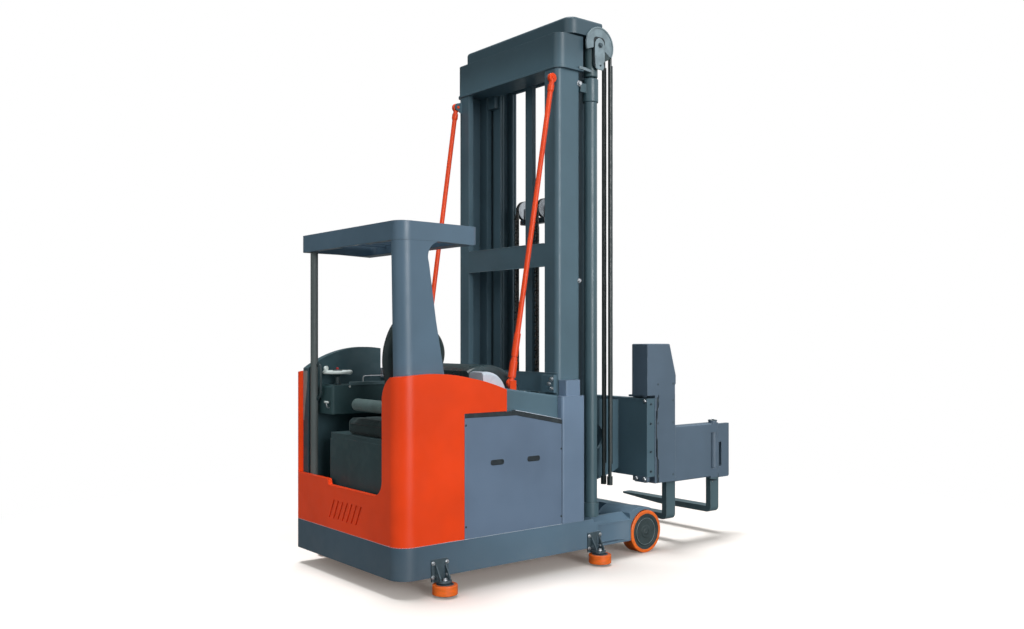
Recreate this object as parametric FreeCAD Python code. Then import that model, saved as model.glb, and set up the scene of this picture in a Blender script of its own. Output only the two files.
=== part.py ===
"""Very narrow aisle forklift: seated driver at the rear, three-stage mast, three-way fork head.

Lengths are in millimetres. x runs forward from the truck's rear face, y to its left from the
centre plane and z up from the floor. save() moves every piece so that the origin lies on the
floor in the middle of the truck's length.
"""
import FreeCAD, Part
import math
import os

V = FreeCAD.Vector
X_AXIS = V(1, 0, 0)
Y_AXIS = V(0, 1, 0)
Z_AXIS = V(0, 0, 1)

# ---------------------------------------------------------------- driving dimensions
FIT = 0.3                    # gap between bodies whose curved faces would otherwise touch
RUN = 6.0                    # clearance between pieces that move past each other
SPIN = 0.05                  # radial running clearance of a bearing
SINK = 1.0                   # overlap that makes two parts of one piece fuse
THROUGH = 5.0                # a cutter runs past the face that it opens by this much

# chassis
BODY_HALF = 648.0            # half of the truck's width
SKIRT_BOTTOM = 105.0
SKIRT_TOP = 297.0
SKIRT_CORNER_R = 110.0       # rear corner on the right
LEFT_CORNER_R = 30.0         # and the tighter one on the left
FRAME_WALL = 30.0
FRAME_FLOOR = 12.0
WELL_END_X = 1232.0          # the frame is closed from here to the mast's pocket
POCKET_HALF = 338.0          # half width of the open pocket ahead of the mast
RECESS_X0 = 1568.0           # curved recess in the skirt's side behind the load wheel
RECESS_DEPTH = 46.0
RECESS_LIP = 14.0            # plates left below, above and behind the recess
EDGE_SLOPE = 48.0            # drop of the sloping edge above the recess
ARM_WIDTH = 190.0
ARM_TOP = 200.0              # top of a load arm between the frame and its wheel housing
HOUSING_X0 = 1868.0          # wheel housing at the end of each arm
HOUSING_RISE = 24.0          # its arched top rises above the skirt by this much
HOUSING_NOSE = 118.0         # from the wheel's axle to the arm's front end
CROSS_GAP = 60.0             # from the rear face of the cross member to the arm's nose
CROSS_DEPTH = 60.0

# wheels
LOAD_WHEEL_X = 2044.0
LOAD_WHEEL_R = 149.0
LOAD_WHEEL_WIDTH = 105.0
LOAD_WHEEL_GAP = 15.0        # between a load wheel and its arm
LOAD_TREAD = 24.0
LOAD_AXLE_R = 25.0
DRIVE_X = 265.0
DRIVE_R = 172.0
DRIVE_WIDTH = 130.0
DRIVE_AXLE_R = 22.0
DRIVE_TOP_GAP = 12.0         # between the drive wheel's top and its turntable
TURNTABLE = 40.0
TURNTABLE_R = 150.0
MOTOR_R = 105.0
MOTOR_HEIGHT = 220.0
BRIDGE_HALF = 240.0          # half width of the bridge that carries the turntable
BRIDGE_REACH = 170.0         # and half of its length
BRIDGE_THICK = 18.0
BRIDGE_LEG = 14.0
ROLLER_REAR_X = 275.0
ROLLER_FRONT_X = 1533.0
ROLLER_OUT = 60.0            # roller pin outside the skirt
ROLLER_R = 75.0
ROLLER_WIDTH = 58.0
ROLLER_BOTTOM = 15.0
ROLLER_PIN_R = 12.0
BRACKET_HALF = 60.0

# bodywork
COWL_TOP = 1284.0
COWL_LENGTH = 787.0
COWL_CROWN = 16.0            # the cowl's top edge rises this much above its rear end
COWL_WALL = 30.0
COLUMN_WIDTH = 196.0         # the cowl's wide column beside the driver's entry
COLUMN_TOP_R = 160.0         # rounded shoulder above the entry's right edge
COLUMN_SKIN = 12.0           # sheet on the column's inner face
SILL_TOP = 575.0
STEP_RISE = 36.0             # the sill is this much higher on the entry's left
STEP_Y = 210.0
ENTRY_R = 95.0               # rounded lower corners of the entry
LOUVRES = 7
LOUVRE_PITCH = 56.0
LOUVRE_Z0 = 366.0
LOUVRE_HEIGHT = 121.0
LOUVRE_LEAN = 65.0
LOUVRE_WIDTH = 15.0
COVER_X0 = 462.0
COVER_X1 = 1248.0
COVER_TOP = 1055.0
COVER_FALL = 85.0            # the covers' front ends are lower by this much
COVER_BEND_X = 807.0
COVER_WALL = 24.0
GRIP_X = (711.0, 1005.0)
GRIP_Z = 745.0
SEAM = 2.0                   # open seam between neighbouring panels
BATTERY_X0 = 640.0
BATTERY_X1 = 1210.0
BATTERY_INSET = 88.0         # the battery stands inside the truck's side
BATTERY_TOP = 900.0
DECK_INSET = 45.0
DECK_TOP = 1224.0
DECK_FRONT_TOP = 1135.0
HOOD_INSET = 186.0
HOOD_X1 = 1052.0
HOOD_TOP = 1342.0
FOOT_X0 = 1252.0             # mast foot column on each side
FOOT_X1 = 1455.0
FOOT_TOP = 1130.0
FOOT_WIDTH = 87.0
FOOT_STUB = 105.0

# cab
GUARD_TOP = 2200.0
GUARD_INSET = 35.0           # the guard's side stands inside the truck's side
GUARD_X0 = 20.0
GUARD_X1 = 610.0
GUARD_CORNER_R = 80.0        # corners of the roof and outer edge of the pillar
GUARD_DEPTH = 112.0
GUARD_FRONT_DEPTH = 110.0
GUARD_RIM = 45.0
GUARD_BARS = 7
BAR_WIDTH = 14.0
PILLAR_X0 = 36.0             # rear and front faces of the broad pillar where it leaves the cowl
PILLAR_X1 = 339.0
PILLAR_WIDTH = 92.0
POST_R = 25.0                # slim post at the left of the entry
POST_X = 60.0
CAB_WALL = 68.0              # dark lining of the left wall
LINING_TOP = 1440.0
CAB_FLOOR_Z = 330.0
FLOOR_THICK = 18.0
BULKHEAD_X = 600.0
BULKHEAD_THICK = 25.0
SEAT_Z = 900.0               # underside of the seat cushion
SEAT_GAP = 6.0               # between the seat back and the cowl's column
SEAT_BACK_THICK = 115.0
SEAT_BACK_TOP = 1672.0
SEAT_PAD = 110.0
CUSHION_Y1 = 130.0
PEDESTAL_Y = 300.0           # left face of the seat pedestal
PEDESTAL_WALL = 12.0
CONSOLE_Y = 330.0
CONSOLE_Z0 = 1010.0
CONSOLE_TOP = 1200.0
WHEEL_X = 192.0
WHEEL_INSET = 120.0          # from the steering wheel's axis to the left wall's lining
RIM_R = 85.0
ARMREST_R = 44.0
ARMREST_LENGTH = 380.0
ARMREST_Z = 1090.0

# mast
MAST_X0 = 1286.0             # rear face of the outer rails
RAIL_DEPTH = 211.0
RAIL_WIDTH = 131.0
RAIL_WALL = 40.0
BEAM_LOW_Z = (1150.0, 1280.0)
BEAM_MID_Z = (1995.0, 2150.0)
STAGE_GAP = 8.0              # between one stage's front face and the next stage's rear face
CROWN_LIP = 19.0
OUTER_CROWN_Z0 = 3321.0
OUTER_CROWN_Z1 = 3545.0
MID_DEPTH = 155.0
MID_WIDTH = 94.0
MID_WALL = 16.0
INNER_WIDTH = 72.0
INNER_WALL = 14.0
INNER_TOP = 3440.0
CROWN_GAP = 8.0
MID_CROWN_OVERHANG = 39.0    # the middle crown reaches past the outer rails by this much
MID_CROWN_BACK = 133.0       # and past the middle rails to the rear by this much
MID_CROWN_THICK = 112.0
SHEAVE_OUT = 116.0           # hose sheave ahead of the middle crown
SHEAVE_DROP = 100.0          # its axle below the top of the middle crown
SHEAVE_R = 112.0
HOSE_R = 13.0
HOSE_PITCH = 63.0            # between the two hoses, one each side of the middle rail's face
HOSE_BOTTOM = 470.0
LIFT_CYL_INSET = 16.0        # lift cylinders inside the outer rails' outer faces
LIFT_CYL_OUT = 103.0         # and ahead of the outer rails
LIFT_CYL_R = 46.0
LIFT_ROD_R = 30.0
LIFT_HEAD_R = 50.0           # head sleeve between the barrel's collar and the middle crown
BARREL_DROP = 74.0           # barrel's top below the outer crown
STAY_R = 17.0
STAY_LOW_X = 930.0           # the stays' lower eyes on the deck
STAY_LOW_INSET = 51.0        # inside the outer rails' outer faces
STAY_HIGH_INSET = 16.0
STAY_EYE_R = 31.0
STAY_PIN_R = 11.0
FREE_Y = 50.0
FREE_CYL_R = 36.0
FREE_ROD_R = 24.0
CHAIN_Y = (-62.0, 162.0)
CHAIN_SHEAVE_R = 62.0
CHAIN_SHEAVE_Z = 2450.0
CHAIN_WIDTH = 24.0
CHAIN_THICK = 10.0
LINK_PITCH = 76.0            # spacing of the cross plates along the chains

# head
TRAVERSE_X0 = 2092.0
TRAVERSE_DEPTH = 80.0
TRAVERSE_INSET = 38.0        # the frame's ends inside the truck's sides
TRAVERSE_Z0 = 520.0
TRAVERSE_Z1 = 1080.0
RACK_PITCH = 40.0
RACK_TOOTH = 14.0
PLATE_BOTTOM = 480.0         # carriage side plates
TIE_X = 1700.0               # cross ties between them
TIE_THICK = 22.0
POST_TOP = 1470.0
POST_OUT = 4.0               # the post's outer face beyond the traverse frame's end
POST_WIDTH = 150.0
POST_FRONT_X = 2385.0
POST_BOTTOM = 470.0
HEAD_GAP = 20.0              # from the traverse frame's top to the post's overhanging cap
ARM_Z0 = 455.0
ARM_Z1 = 866.0
ARM_THICK = 86.0
PIVOT_BACK = 262.0           # swivel axis behind the head's front end
PIVOT_R = 20.0
DRUM_R = 40.0
KNUCKLE = 70.0               # height of each knuckle round the swivel pin
HEAD_FRONT_X = 3120.0
FORK_FRAME_THICK = 28.0
FORK_FRAME_GAP = 10.0        # between the arm and the fork frame
FORK_PLATE = 122.0           # length of the slotted plate at the frame's front end
FORK_THICK = 45.0
FORK_WIDTH = 96.0
FORK_Z = 160.0               # underside of the blades
FORK_LENGTH = 910.0

# places that follow from the sizes above
ORIGIN_X = HEAD_FRONT_X / 2.0
BARREL_TOP = OUTER_CROWN_Z0 - BARREL_DROP
ARM_OUTER_Y = BODY_HALF - LOAD_WHEEL_WIDTH - LOAD_WHEEL_GAP
ARM_INNER_Y = ARM_OUTER_Y - ARM_WIDTH
ARM_END_X = LOAD_WHEEL_X + HOUSING_NOSE
SKIRT_END_X = LOAD_WHEEL_X - LOAD_WHEEL_R - RUN
CROSS_X = ARM_END_X - CROSS_GAP - CROSS_DEPTH
FLOOR_TOP = SKIRT_BOTTOM + FRAME_FLOOR
ROLLER_Y = BODY_HALF + ROLLER_OUT
COLUMN_Y = -BODY_HALF + COLUMN_WIDTH
LINING_Y = BODY_HALF - COWL_WALL - CAB_WALL
GUARD_HALF = BODY_HALF - GUARD_INSET
GUARD_POST_Y = GUARD_HALF - 106.0
BATTERY_HALF = BODY_HALF - BATTERY_INSET
HOOD_HALF = BODY_HALF - HOOD_INSET
SEAT_BACK_Y = COLUMN_Y + SEAT_GAP
SEAT_FACE_Y = SEAT_BACK_Y + SEAT_BACK_THICK
MAST_HALF = BODY_HALF - FOOT_WIDTH
MAST_INNER = MAST_HALF - RAIL_WIDTH
MAST_X1 = MAST_X0 + RAIL_DEPTH
MID_X0 = MAST_X1 + STAGE_GAP
MID_HALF = MAST_INNER - RUN
MID_X1 = MID_X0 + MID_DEPTH
HOSE_Y = (-MID_HALF - HOSE_PITCH / 2, -MID_HALF + HOSE_PITCH / 2)
MID_CROWN_Z0 = OUTER_CROWN_Z1 + CROWN_GAP
MID_CROWN_Z1 = MID_CROWN_Z0 + MID_CROWN_THICK
INNER_X0 = MID_X0 + MID_WALL + RUN
INNER_DEPTH = MID_DEPTH - 2 * (MID_WALL + RUN)
INNER_X1 = INNER_X0 + INNER_DEPTH
INNER_HALF = MID_HALF - MID_WALL - RUN
INNER_INNER = INNER_HALF - INNER_WIDTH
INNER_Z0 = SKIRT_TOP + 40.0
CARRIAGE_HALF = INNER_INNER - RUN
SHEAVE_X = MID_X1 + SHEAVE_OUT
SHEAVE_Z = MID_CROWN_Z1 - SHEAVE_DROP
LIFT_CYL_X = MAST_X1 + LIFT_CYL_OUT
LIFT_CYL_Y = MAST_HALF - LIFT_CYL_INSET
FREE_X = INNER_X1 - FREE_CYL_R
CHAIN_END_Z = TRAVERSE_Z1 - 95.0
TRAVERSE_HALF = BODY_HALF - TRAVERSE_INSET
TRAVERSE_X1 = TRAVERSE_X0 + TRAVERSE_DEPTH
POST_X0 = TRAVERSE_X1 + FIT
POST_OUTER_Y = TRAVERSE_HALF + POST_OUT
PIVOT_X = HEAD_FRONT_X - PIVOT_BACK
PIVOT_Y = -POST_OUTER_Y + ARM_THICK / 2
FORK_X = (POST_FRONT_X + 92.0, HEAD_FRONT_X - 140.0)
FORK_BACK_Y = -POST_OUTER_Y + ARM_THICK + FORK_FRAME_GAP + FORK_FRAME_THICK


# ---------------------------------------------------------------- helpers
def save(name, shape):
    """Write one node as a STEP file in the truck's shared frame."""
    placed = shape.copy()
    placed.translate(V(-ORIGIN_X, 0, 0))
    placed.exportStep("parts/" + name + ".step")


def block(x0, x1, y0, y1, z0, z1):
    """Box between three pairs of limits."""
    return Part.makeBox(x1 - x0, y1 - y0, z1 - z0, V(x0, y0, z0))


def rod(base, direction, radius, length):
    """Solid cylinder."""
    return Part.makeCylinder(radius, length, base, direction)


def ring(base, direction, outer, inner, length):
    """Tube."""
    return rod(base, direction, outer, length).cut(rod(base, direction, inner, length))


def outline_face(points, place):
    """Face inside a closed outline. A point is (a, b), or ((am, bm), (a, b)) for an arc that
    passes through the middle pair. place() turns a pair into a point in space."""
    start = place(*points[0])
    edges = []
    here = start
    for item in points[1:] + points[:1]:
        arc = isinstance(item[0], tuple)
        there = place(*(item[1] if arc else item))
        if arc:
            edges.append(Part.Arc(here, place(*item[0]), there).toShape())
        else:
            edges.append(Part.makeLine(here, there))
        here = there
    return Part.Face(Part.Wire(edges))


def side_plate(points, y0, y1):
    """Extrude a closed outline given as (x, z) pairs from y0 to y1."""
    return outline_face(points, lambda x, z: V(x, y0, z)).extrude(V(0, y1 - y0, 0))


def plan_plate(points, z0, z1):
    """Extrude a closed outline given as (x, y) pairs from z0 to z1."""
    return outline_face(points, lambda x, y: V(x, y, z0)).extrude(V(0, 0, z1 - z0))


def cross_plate(points, x0, x1):
    """Extrude a closed outline given as (y, z) pairs from x0 to x1."""
    return outline_face(points, lambda y, z: V(x0, y, z)).extrude(V(x1 - x0, 0, 0))


def round_edges(shape, radius, keep):
    """Fillet the edges for which keep(edge) is true."""
    edges = [edge for edge in shape.Edges if keep(edge)]
    return shape.makeFillet(radius, edges)


def straight(edge, axis):
    """True for a straight edge along one axis."""
    if edge.Curve.TypeId != "Part::GeomLine":
        return False
    along = edge.Curve.Direction
    return abs(abs(along.dot(axis)) - 1) < 1e-6


def upright(edge):
    """True for a straight edge along z."""
    return straight(edge, Z_AXIS)


def crosswise(edge):
    """True for a straight edge along y."""
    return straight(edge, Y_AXIS)


def circle_of(edge, radius):
    """True for a full or part circle of the given radius."""
    return edge.Curve.TypeId == "Part::GeomCircle" and abs(edge.Curve.Radius - radius) < 0.1


def round_rear_corners(shape, wall):
    """Round the rear corners of a box whose faces stand wall inside the truck's own."""
    for side, radius in ((-1, SKIRT_CORNER_R), (1, LEFT_CORNER_R)):
        if radius > wall:
            shape = round_edges(shape, radius - wall, lambda e: upright(e)
                                and e.Vertexes[0].Point.x < wall + 1
                                and e.Vertexes[0].Point.y * side > BODY_HALF / 2)
    return shape


def mirrored(shape):
    """The same piece on the other side of the centre plane."""
    return shape.mirror(V(0, 0, 0), Y_AXIS)


def both_sides(shape):
    """A right-hand piece and its left-hand twin in one node."""
    return Part.makeCompound([shape, mirrored(shape)])


def right_left(name, shape):
    """Save a right-hand piece and its left-hand twin as two nodes."""
    save(name + "_right", shape)
    save(name + "_left", mirrored(shape))


# ---------------------------------------------------------------- chassis
def skirt_recess():
    """Cutters for the right side ahead of the mast: a curved recess and the sloping edge above."""
    x1 = SKIRT_END_X - RECESS_LIP
    x_mid = (RECESS_X0 + x1) / 2
    z0 = SKIRT_BOTTOM + RECESS_LIP
    z1 = SKIRT_TOP - EDGE_SLOPE
    out = -BODY_HALF - THROUGH
    bow = plan_plate([(RECESS_X0, out), (RECESS_X0, -BODY_HALF),
                      ((x_mid, -BODY_HALF + RECESS_DEPTH), (x1, -BODY_HALF)), (x1, out)], z0, z1)
    run = EDGE_SLOPE * 2
    face = Part.Face(Part.makePolygon([V(SKIRT_END_X + 1, -BODY_HALF, SKIRT_TOP),
                                       V(SKIRT_END_X + 1, -BODY_HALF, z1),
                                       V(SKIRT_END_X + 1, -BODY_HALF + run, SKIRT_TOP),
                                       V(SKIRT_END_X + 1, -BODY_HALF, SKIRT_TOP)]))
    slope = face.extrude(V(RECESS_X0 - SKIRT_END_X - 40, 0, 0))
    tilt = math.degrees(math.atan2(EDGE_SLOPE, SKIRT_END_X - RECESS_X0)) / 2
    slope.rotate(V(SKIRT_END_X, -BODY_HALF, SKIRT_TOP - EDGE_SLOPE), Y_AXIS, tilt)
    return bow.fuse(slope)


def load_arm():
    """Right load arm with the arched wheel housing at its end."""
    low = block(SKIRT_END_X - THROUGH, HOUSING_X0 + THROUGH * 10, -ARM_OUTER_Y, -ARM_INNER_Y,
                SKIRT_BOTTOM, ARM_TOP)
    crest = SKIRT_TOP + HOUSING_RISE
    housing = side_plate([(HOUSING_X0, SKIRT_BOTTOM), (HOUSING_X0, SKIRT_TOP - 40),
                          ((HOUSING_X0 * 0.48 + ARM_END_X * 0.52, crest), (ARM_END_X, SKIRT_TOP - 50)),
                          (ARM_END_X, SKIRT_BOTTOM)], -ARM_OUTER_Y, -ARM_INNER_Y)
    housing = round_edges(housing, 40, lambda e: upright(e) and e.Vertexes[0].Point.x > ARM_END_X - 1)
    return low.fuse(housing)


def chassis_frame():
    """Skirt, floor, load arms and the cross member ahead of the mast."""
    skirt = block(0, SKIRT_END_X, -BODY_HALF, BODY_HALF, SKIRT_BOTTOM, SKIRT_TOP)
    skirt = round_rear_corners(skirt, 0)
    well = block(FRAME_WALL, WELL_END_X, -BODY_HALF + FRAME_WALL, BODY_HALF - FRAME_WALL,
                 FLOOR_TOP, SKIRT_TOP + THROUGH)
    well = round_rear_corners(well, FRAME_WALL)
    wheel_hole = rod(V(DRIVE_X, 0, 0), Z_AXIS, DRIVE_R + 35, SKIRT_TOP)
    pocket = block(MAST_X1 + 20, SKIRT_END_X + THROUGH, -POCKET_HALF, POCKET_HALF,
                   FLOOR_TOP, SKIRT_TOP + THROUGH)
    front_well = block(LIFT_CYL_X + LIFT_CYL_R + 20, SKIRT_END_X + THROUGH, -BODY_HALF + 90,
                       BODY_HALF - 90, ARM_TOP, SKIRT_TOP + THROUGH)
    recess = skirt_recess()
    skirt = skirt.cut(well).cut(wheel_hole).cut(pocket).cut(front_well)
    skirt = skirt.cut(recess).cut(mirrored(recess))
    arm = load_arm()
    cross = block(CROSS_X, CROSS_X + CROSS_DEPTH, -ARM_INNER_Y - SINK, ARM_INNER_Y + SINK,
                  SKIRT_BOTTOM, SKIRT_TOP)
    floor = block(SKIRT_END_X - SINK, CROSS_X + SINK, -ARM_INNER_Y - SINK, ARM_INNER_Y + SINK,
                  SKIRT_BOTTOM, FLOOR_TOP)
    bridge_z = 2 * DRIVE_R + DRIVE_TOP_GAP + TURNTABLE + FIT
    bridge = block(DRIVE_X - BRIDGE_REACH, DRIVE_X + BRIDGE_REACH, -BRIDGE_HALF, BRIDGE_HALF,
                   bridge_z, bridge_z + BRIDGE_THICK)
    bridge = bridge.cut(rod(V(DRIVE_X, 0, bridge_z - 1), Z_AXIS, MOTOR_R + 4, BRIDGE_THICK + 2))
    legs = [block(DRIVE_X - 60, DRIVE_X + 60, y, y + BRIDGE_LEG, SKIRT_BOTTOM, bridge_z + SINK)
            for y in (-BRIDGE_HALF, BRIDGE_HALF - BRIDGE_LEG)]
    frame = skirt.fuse([arm, mirrored(arm), cross, floor, bridge] + legs)
    axle_hole = rod(V(LOAD_WHEEL_X, -BODY_HALF, LOAD_WHEEL_R), Y_AXIS, LOAD_AXLE_R + FIT,
                    2 * BODY_HALF)
    return frame.cut(axle_hole).removeSplitter()


def mast_foot():
    """Right-hand column between the bodywork and the outer mast, with its narrower stub."""
    y_out = -BODY_HALF
    column = block(FOOT_X0, FOOT_X1, y_out, y_out + FOOT_WIDTH, SKIRT_TOP, FOOT_TOP)
    column = round_edges(column, 18, lambda e: upright(e) and e.Vertexes[0].Point.y < y_out + 1)
    stub = block(FOOT_X0 + 45, FOOT_X1 - 30, y_out + 12, y_out + FOOT_WIDTH, FOOT_TOP - SINK,
                 FOOT_TOP + FOOT_STUB)
    stub = round_edges(stub, 10, lambda e: upright(e) and e.Vertexes[0].Point.y < y_out + 13)
    return column.fuse(stub).removeSplitter()


def roller_bracket(x):
    """Bracket with a sloping gusset on each side that carries a guide roller, right side."""
    wall = 10.0
    top = ROLLER_BOTTOM + ROLLER_WIDTH + 8
    reach = ROLLER_OUT + 30
    plate = block(x - BRACKET_HALF, x + BRACKET_HALF, -BODY_HALF - wall, -BODY_HALF, top,
                  SKIRT_BOTTOM + 105)
    plate = round_edges(plate, 12, lambda e: crosswise(e) and e.Vertexes[0].Point.z > SKIRT_BOTTOM)
    shelf = block(x - 42, x + 42, -BODY_HALF - reach, -BODY_HALF, top, top + 14)
    shelf = round_edges(shelf, 30, lambda e: upright(e) and e.Vertexes[0].Point.y < -BODY_HALF - reach + 1)
    gusset = cross_plate([(-BODY_HALF - wall + SINK, top + 13), (-BODY_HALF - reach + 24, top + 13),
                          (-BODY_HALF - reach + 24, top + 26), (-BODY_HALF - wall - 10, top + 100),
                          (-BODY_HALF - wall + SINK, top + 100)], x - 38, x - 30)
    hole = rod(V(x - 50, -BODY_HALF - 30, top + 42), X_AXIS, 11, 100)
    twin = gusset.copy()
    twin.translate(V(68, 0, 0))
    pin = rod(V(x, -ROLLER_Y, ROLLER_BOTTOM - 6), Z_AXIS, ROLLER_PIN_R, top - ROLLER_BOTTOM + 12)
    washer = rod(V(x, -ROLLER_Y, ROLLER_BOTTOM - 6), Z_AXIS, ROLLER_PIN_R + 8, 4)
    return plate.fuse([shelf, gusset.cut(hole), twin.cut(hole), pin, washer]).removeSplitter()


def guide_roller(x, side):
    """Polyurethane guide roller on its upright pin."""
    base = V(x, side * ROLLER_Y, ROLLER_BOTTOM)
    tread = ring(base, Z_AXIS, ROLLER_R, ROLLER_PIN_R + SPIN, ROLLER_WIDTH)
    return round_edges(tread, 5, lambda e: circle_of(e, ROLLER_R))


def load_tyre():
    """Right load wheel's tread."""
    base = V(LOAD_WHEEL_X, -BODY_HALF, LOAD_WHEEL_R)
    tread = ring(base, Y_AXIS, LOAD_WHEEL_R, LOAD_WHEEL_R - LOAD_TREAD, LOAD_WHEEL_WIDTH)
    return round_edges(tread, 8, lambda e: circle_of(e, LOAD_WHEEL_R))


def load_hub():
    """Right load wheel's steel centre: a dished disc with a ring groove and an axle boss."""
    rim = LOAD_WHEEL_R - LOAD_TREAD
    bore = LOAD_AXLE_R + SPIN
    inner_face = LOAD_WHEEL_WIDTH - 4
    groove = 6.0
    profile = [(bore, 0), (bore, inner_face), (rim, inner_face), (rim, 4), (rim - 14, 4),
               (rim - 20, 4 + groove), (rim - 26, 4 + groove), (rim - 32, 4),
               (LOAD_AXLE_R + 20, 4), (LOAD_AXLE_R + 16, 0)]
    face = outline_face(profile, lambda r, y: V(LOAD_WHEEL_X + r, -BODY_HALF + y, LOAD_WHEEL_R))
    return face.revolve(V(LOAD_WHEEL_X, 0, LOAD_WHEEL_R), Y_AXIS, 360)


def load_axle():
    """Right load wheel's axle, held in the load arm."""
    return rod(V(LOAD_WHEEL_X, -BODY_HALF + 3, LOAD_WHEEL_R), Y_AXIS, LOAD_AXLE_R,
               BODY_HALF - 3 - ARM_INNER_Y)


def drive_wheel():
    """Steered drive wheel under the driver's floor."""
    base = V(DRIVE_X, -DRIVE_WIDTH / 2, DRIVE_R)
    wheel = rod(base, Y_AXIS, DRIVE_R, DRIVE_WIDTH)
    wheel = round_edges(wheel, 10, lambda e: circle_of(e, DRIVE_R))
    return wheel.cut(rod(base, Y_AXIS, DRIVE_AXLE_R + SPIN, DRIVE_WIDTH))


def drive_unit():
    """Turntable, gear case beside the wheel, and the upright traction motor."""
    top = 2 * DRIVE_R + DRIVE_TOP_GAP
    side = DRIVE_WIDTH / 2 + RUN
    table = rod(V(DRIVE_X, 0, top), Z_AXIS, TURNTABLE_R, TURNTABLE)
    cheek = block(DRIVE_X - 60, DRIVE_X + 60, side, side + 34, DRIVE_R - 60, top + SINK)
    cheek = cheek.fuse(rod(V(DRIVE_X, side, DRIVE_R), Y_AXIS, 85, 34))
    axle = rod(V(DRIVE_X, -DRIVE_WIDTH / 2 + 2, DRIVE_R), Y_AXIS, DRIVE_AXLE_R, DRIVE_WIDTH + RUN + 10)
    motor = rod(V(DRIVE_X, 0, top + TURNTABLE - SINK), Z_AXIS, MOTOR_R, MOTOR_HEIGHT)
    return table.fuse([cheek, axle, motor]).removeSplitter()


# ---------------------------------------------------------------- bodywork
def cowl_profile():
    """Side outline of the cowl with its crowned top edge."""
    return [(0, SKIRT_TOP), (0, COWL_TOP), ((295, COWL_TOP + COWL_CROWN), (500, COWL_TOP - 12)),
            ((650, COWL_TOP - 46), (COWL_LENGTH, COWL_TOP - 92)),
            (COWL_LENGTH, COVER_TOP + SEAM), (COVER_X0 - SEAM, COVER_TOP + SEAM),
            (COVER_X0 - SEAM, SKIRT_TOP)]


def cowl_column(x1):
    """Wide hollow column beside the entry, lapped inside the shell's walls, with the pillar's socket."""
    lap = COWL_WALL / 3
    column = side_plate(cowl_profile(), -BODY_HALF + lap, COLUMN_Y)
    column = column.common(block(lap, x1, -BODY_HALF, COLUMN_Y, SKIRT_TOP, COWL_TOP + 60))
    column = round_edges(column, SKIRT_CORNER_R - lap,
                         lambda e: upright(e) and e.Vertexes[0].Point.x < lap + 1
                         and e.Vertexes[0].Point.y < -BODY_HALF + lap + 1)
    centre_y = COLUMN_Y - COLUMN_TOP_R
    centre_z = COWL_TOP + COWL_CROWN - COLUMN_TOP_R
    reach = COLUMN_TOP_R - COLUMN_SKIN
    top = COWL_TOP - COLUMN_SKIN
    bend = math.asin((top - centre_z) / reach)
    arc = [(centre_y + reach * math.cos(a), centre_z + reach * math.sin(a)) for a in (bend, bend / 2)]
    hollow = cross_plate([(-BODY_HALF, SKIRT_TOP - THROUGH), (-BODY_HALF, top), arc[0],
                          (arc[1], (COLUMN_Y - COLUMN_SKIN, centre_z)),
                          (COLUMN_Y - COLUMN_SKIN, SKIRT_TOP - THROUGH)], COWL_WALL, x1 + THROUGH)
    socket = block(PILLAR_X0 - 4, PILLAR_X1 + 4, -GUARD_HALF - 4, -GUARD_HALF + PILLAR_WIDTH + 4,
                   SKIRT_TOP - THROUGH, COWL_TOP + THROUGH * 5)
    socket = round_edges(socket, GUARD_CORNER_R + 4,
                         lambda e: upright(e) and e.Vertexes[0].Point.x < PILLAR_X0
                         and e.Vertexes[0].Point.y < -GUARD_HALF)
    return column.cut(hollow).cut(socket)


def rear_cowl():
    """Painted cowl around the driver: column, louvred sill, left wall and the crowned sides."""
    shell = side_plate(cowl_profile(), -BODY_HALF, BODY_HALF)
    shell = round_rear_corners(shell, 0)
    inner = block(COWL_WALL, COWL_LENGTH + THROUGH, -BODY_HALF + COWL_WALL, BODY_HALF - COWL_WALL,
                  SKIRT_TOP - THROUGH, COWL_TOP + 61)
    inner = round_rear_corners(inner, COWL_WALL)
    x1 = COVER_X0 - SEAM
    body = shell.cut(inner).fuse(cowl_column(x1))
    centre_z = COWL_TOP + COWL_CROWN - COLUMN_TOP_R
    shoulder = block(-THROUGH, x1 + THROUGH, COLUMN_Y - COLUMN_TOP_R, COLUMN_Y + THROUGH, centre_z,
                     COWL_TOP + 60)
    shoulder = shoulder.cut(rod(V(-THROUGH * 2, COLUMN_Y - COLUMN_TOP_R, centre_z), X_AXIS,
                                COLUMN_TOP_R, x1 + THROUGH * 4))
    left = BODY_HALF - COWL_WALL
    entry = cross_plate([(COLUMN_Y, SILL_TOP), (COLUMN_Y, COWL_TOP + 99), (left, COWL_TOP + 99),
                         (left, SILL_TOP + STEP_RISE), (STEP_Y, SILL_TOP + STEP_RISE),
                         (STEP_Y - 12, SILL_TOP)], -THROUGH, COWL_WALL + 21)
    entry = round_edges(entry, ENTRY_R, lambda e: straight(e, X_AXIS) and e.Vertexes[0].Point.z < SILL_TOP + 1
                        and e.Vertexes[0].Point.y < COLUMN_Y + 1)
    body = body.cut(entry).cut(shoulder)
    for i in range(LOUVRES):
        y = LOUVRE_PITCH * (LOUVRES / 2 - i)
        slot = cross_plate([(y, LOUVRE_Z0), (y - LOUVRE_LEAN, LOUVRE_Z0 + LOUVRE_HEIGHT),
                            (y - LOUVRE_LEAN - LOUVRE_WIDTH, LOUVRE_Z0 + LOUVRE_HEIGHT),
                            (y - LOUVRE_WIDTH, LOUVRE_Z0)], -THROUGH, COWL_WALL + THROUGH)
        body = body.cut(slot)
    return body.removeSplitter()


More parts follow.
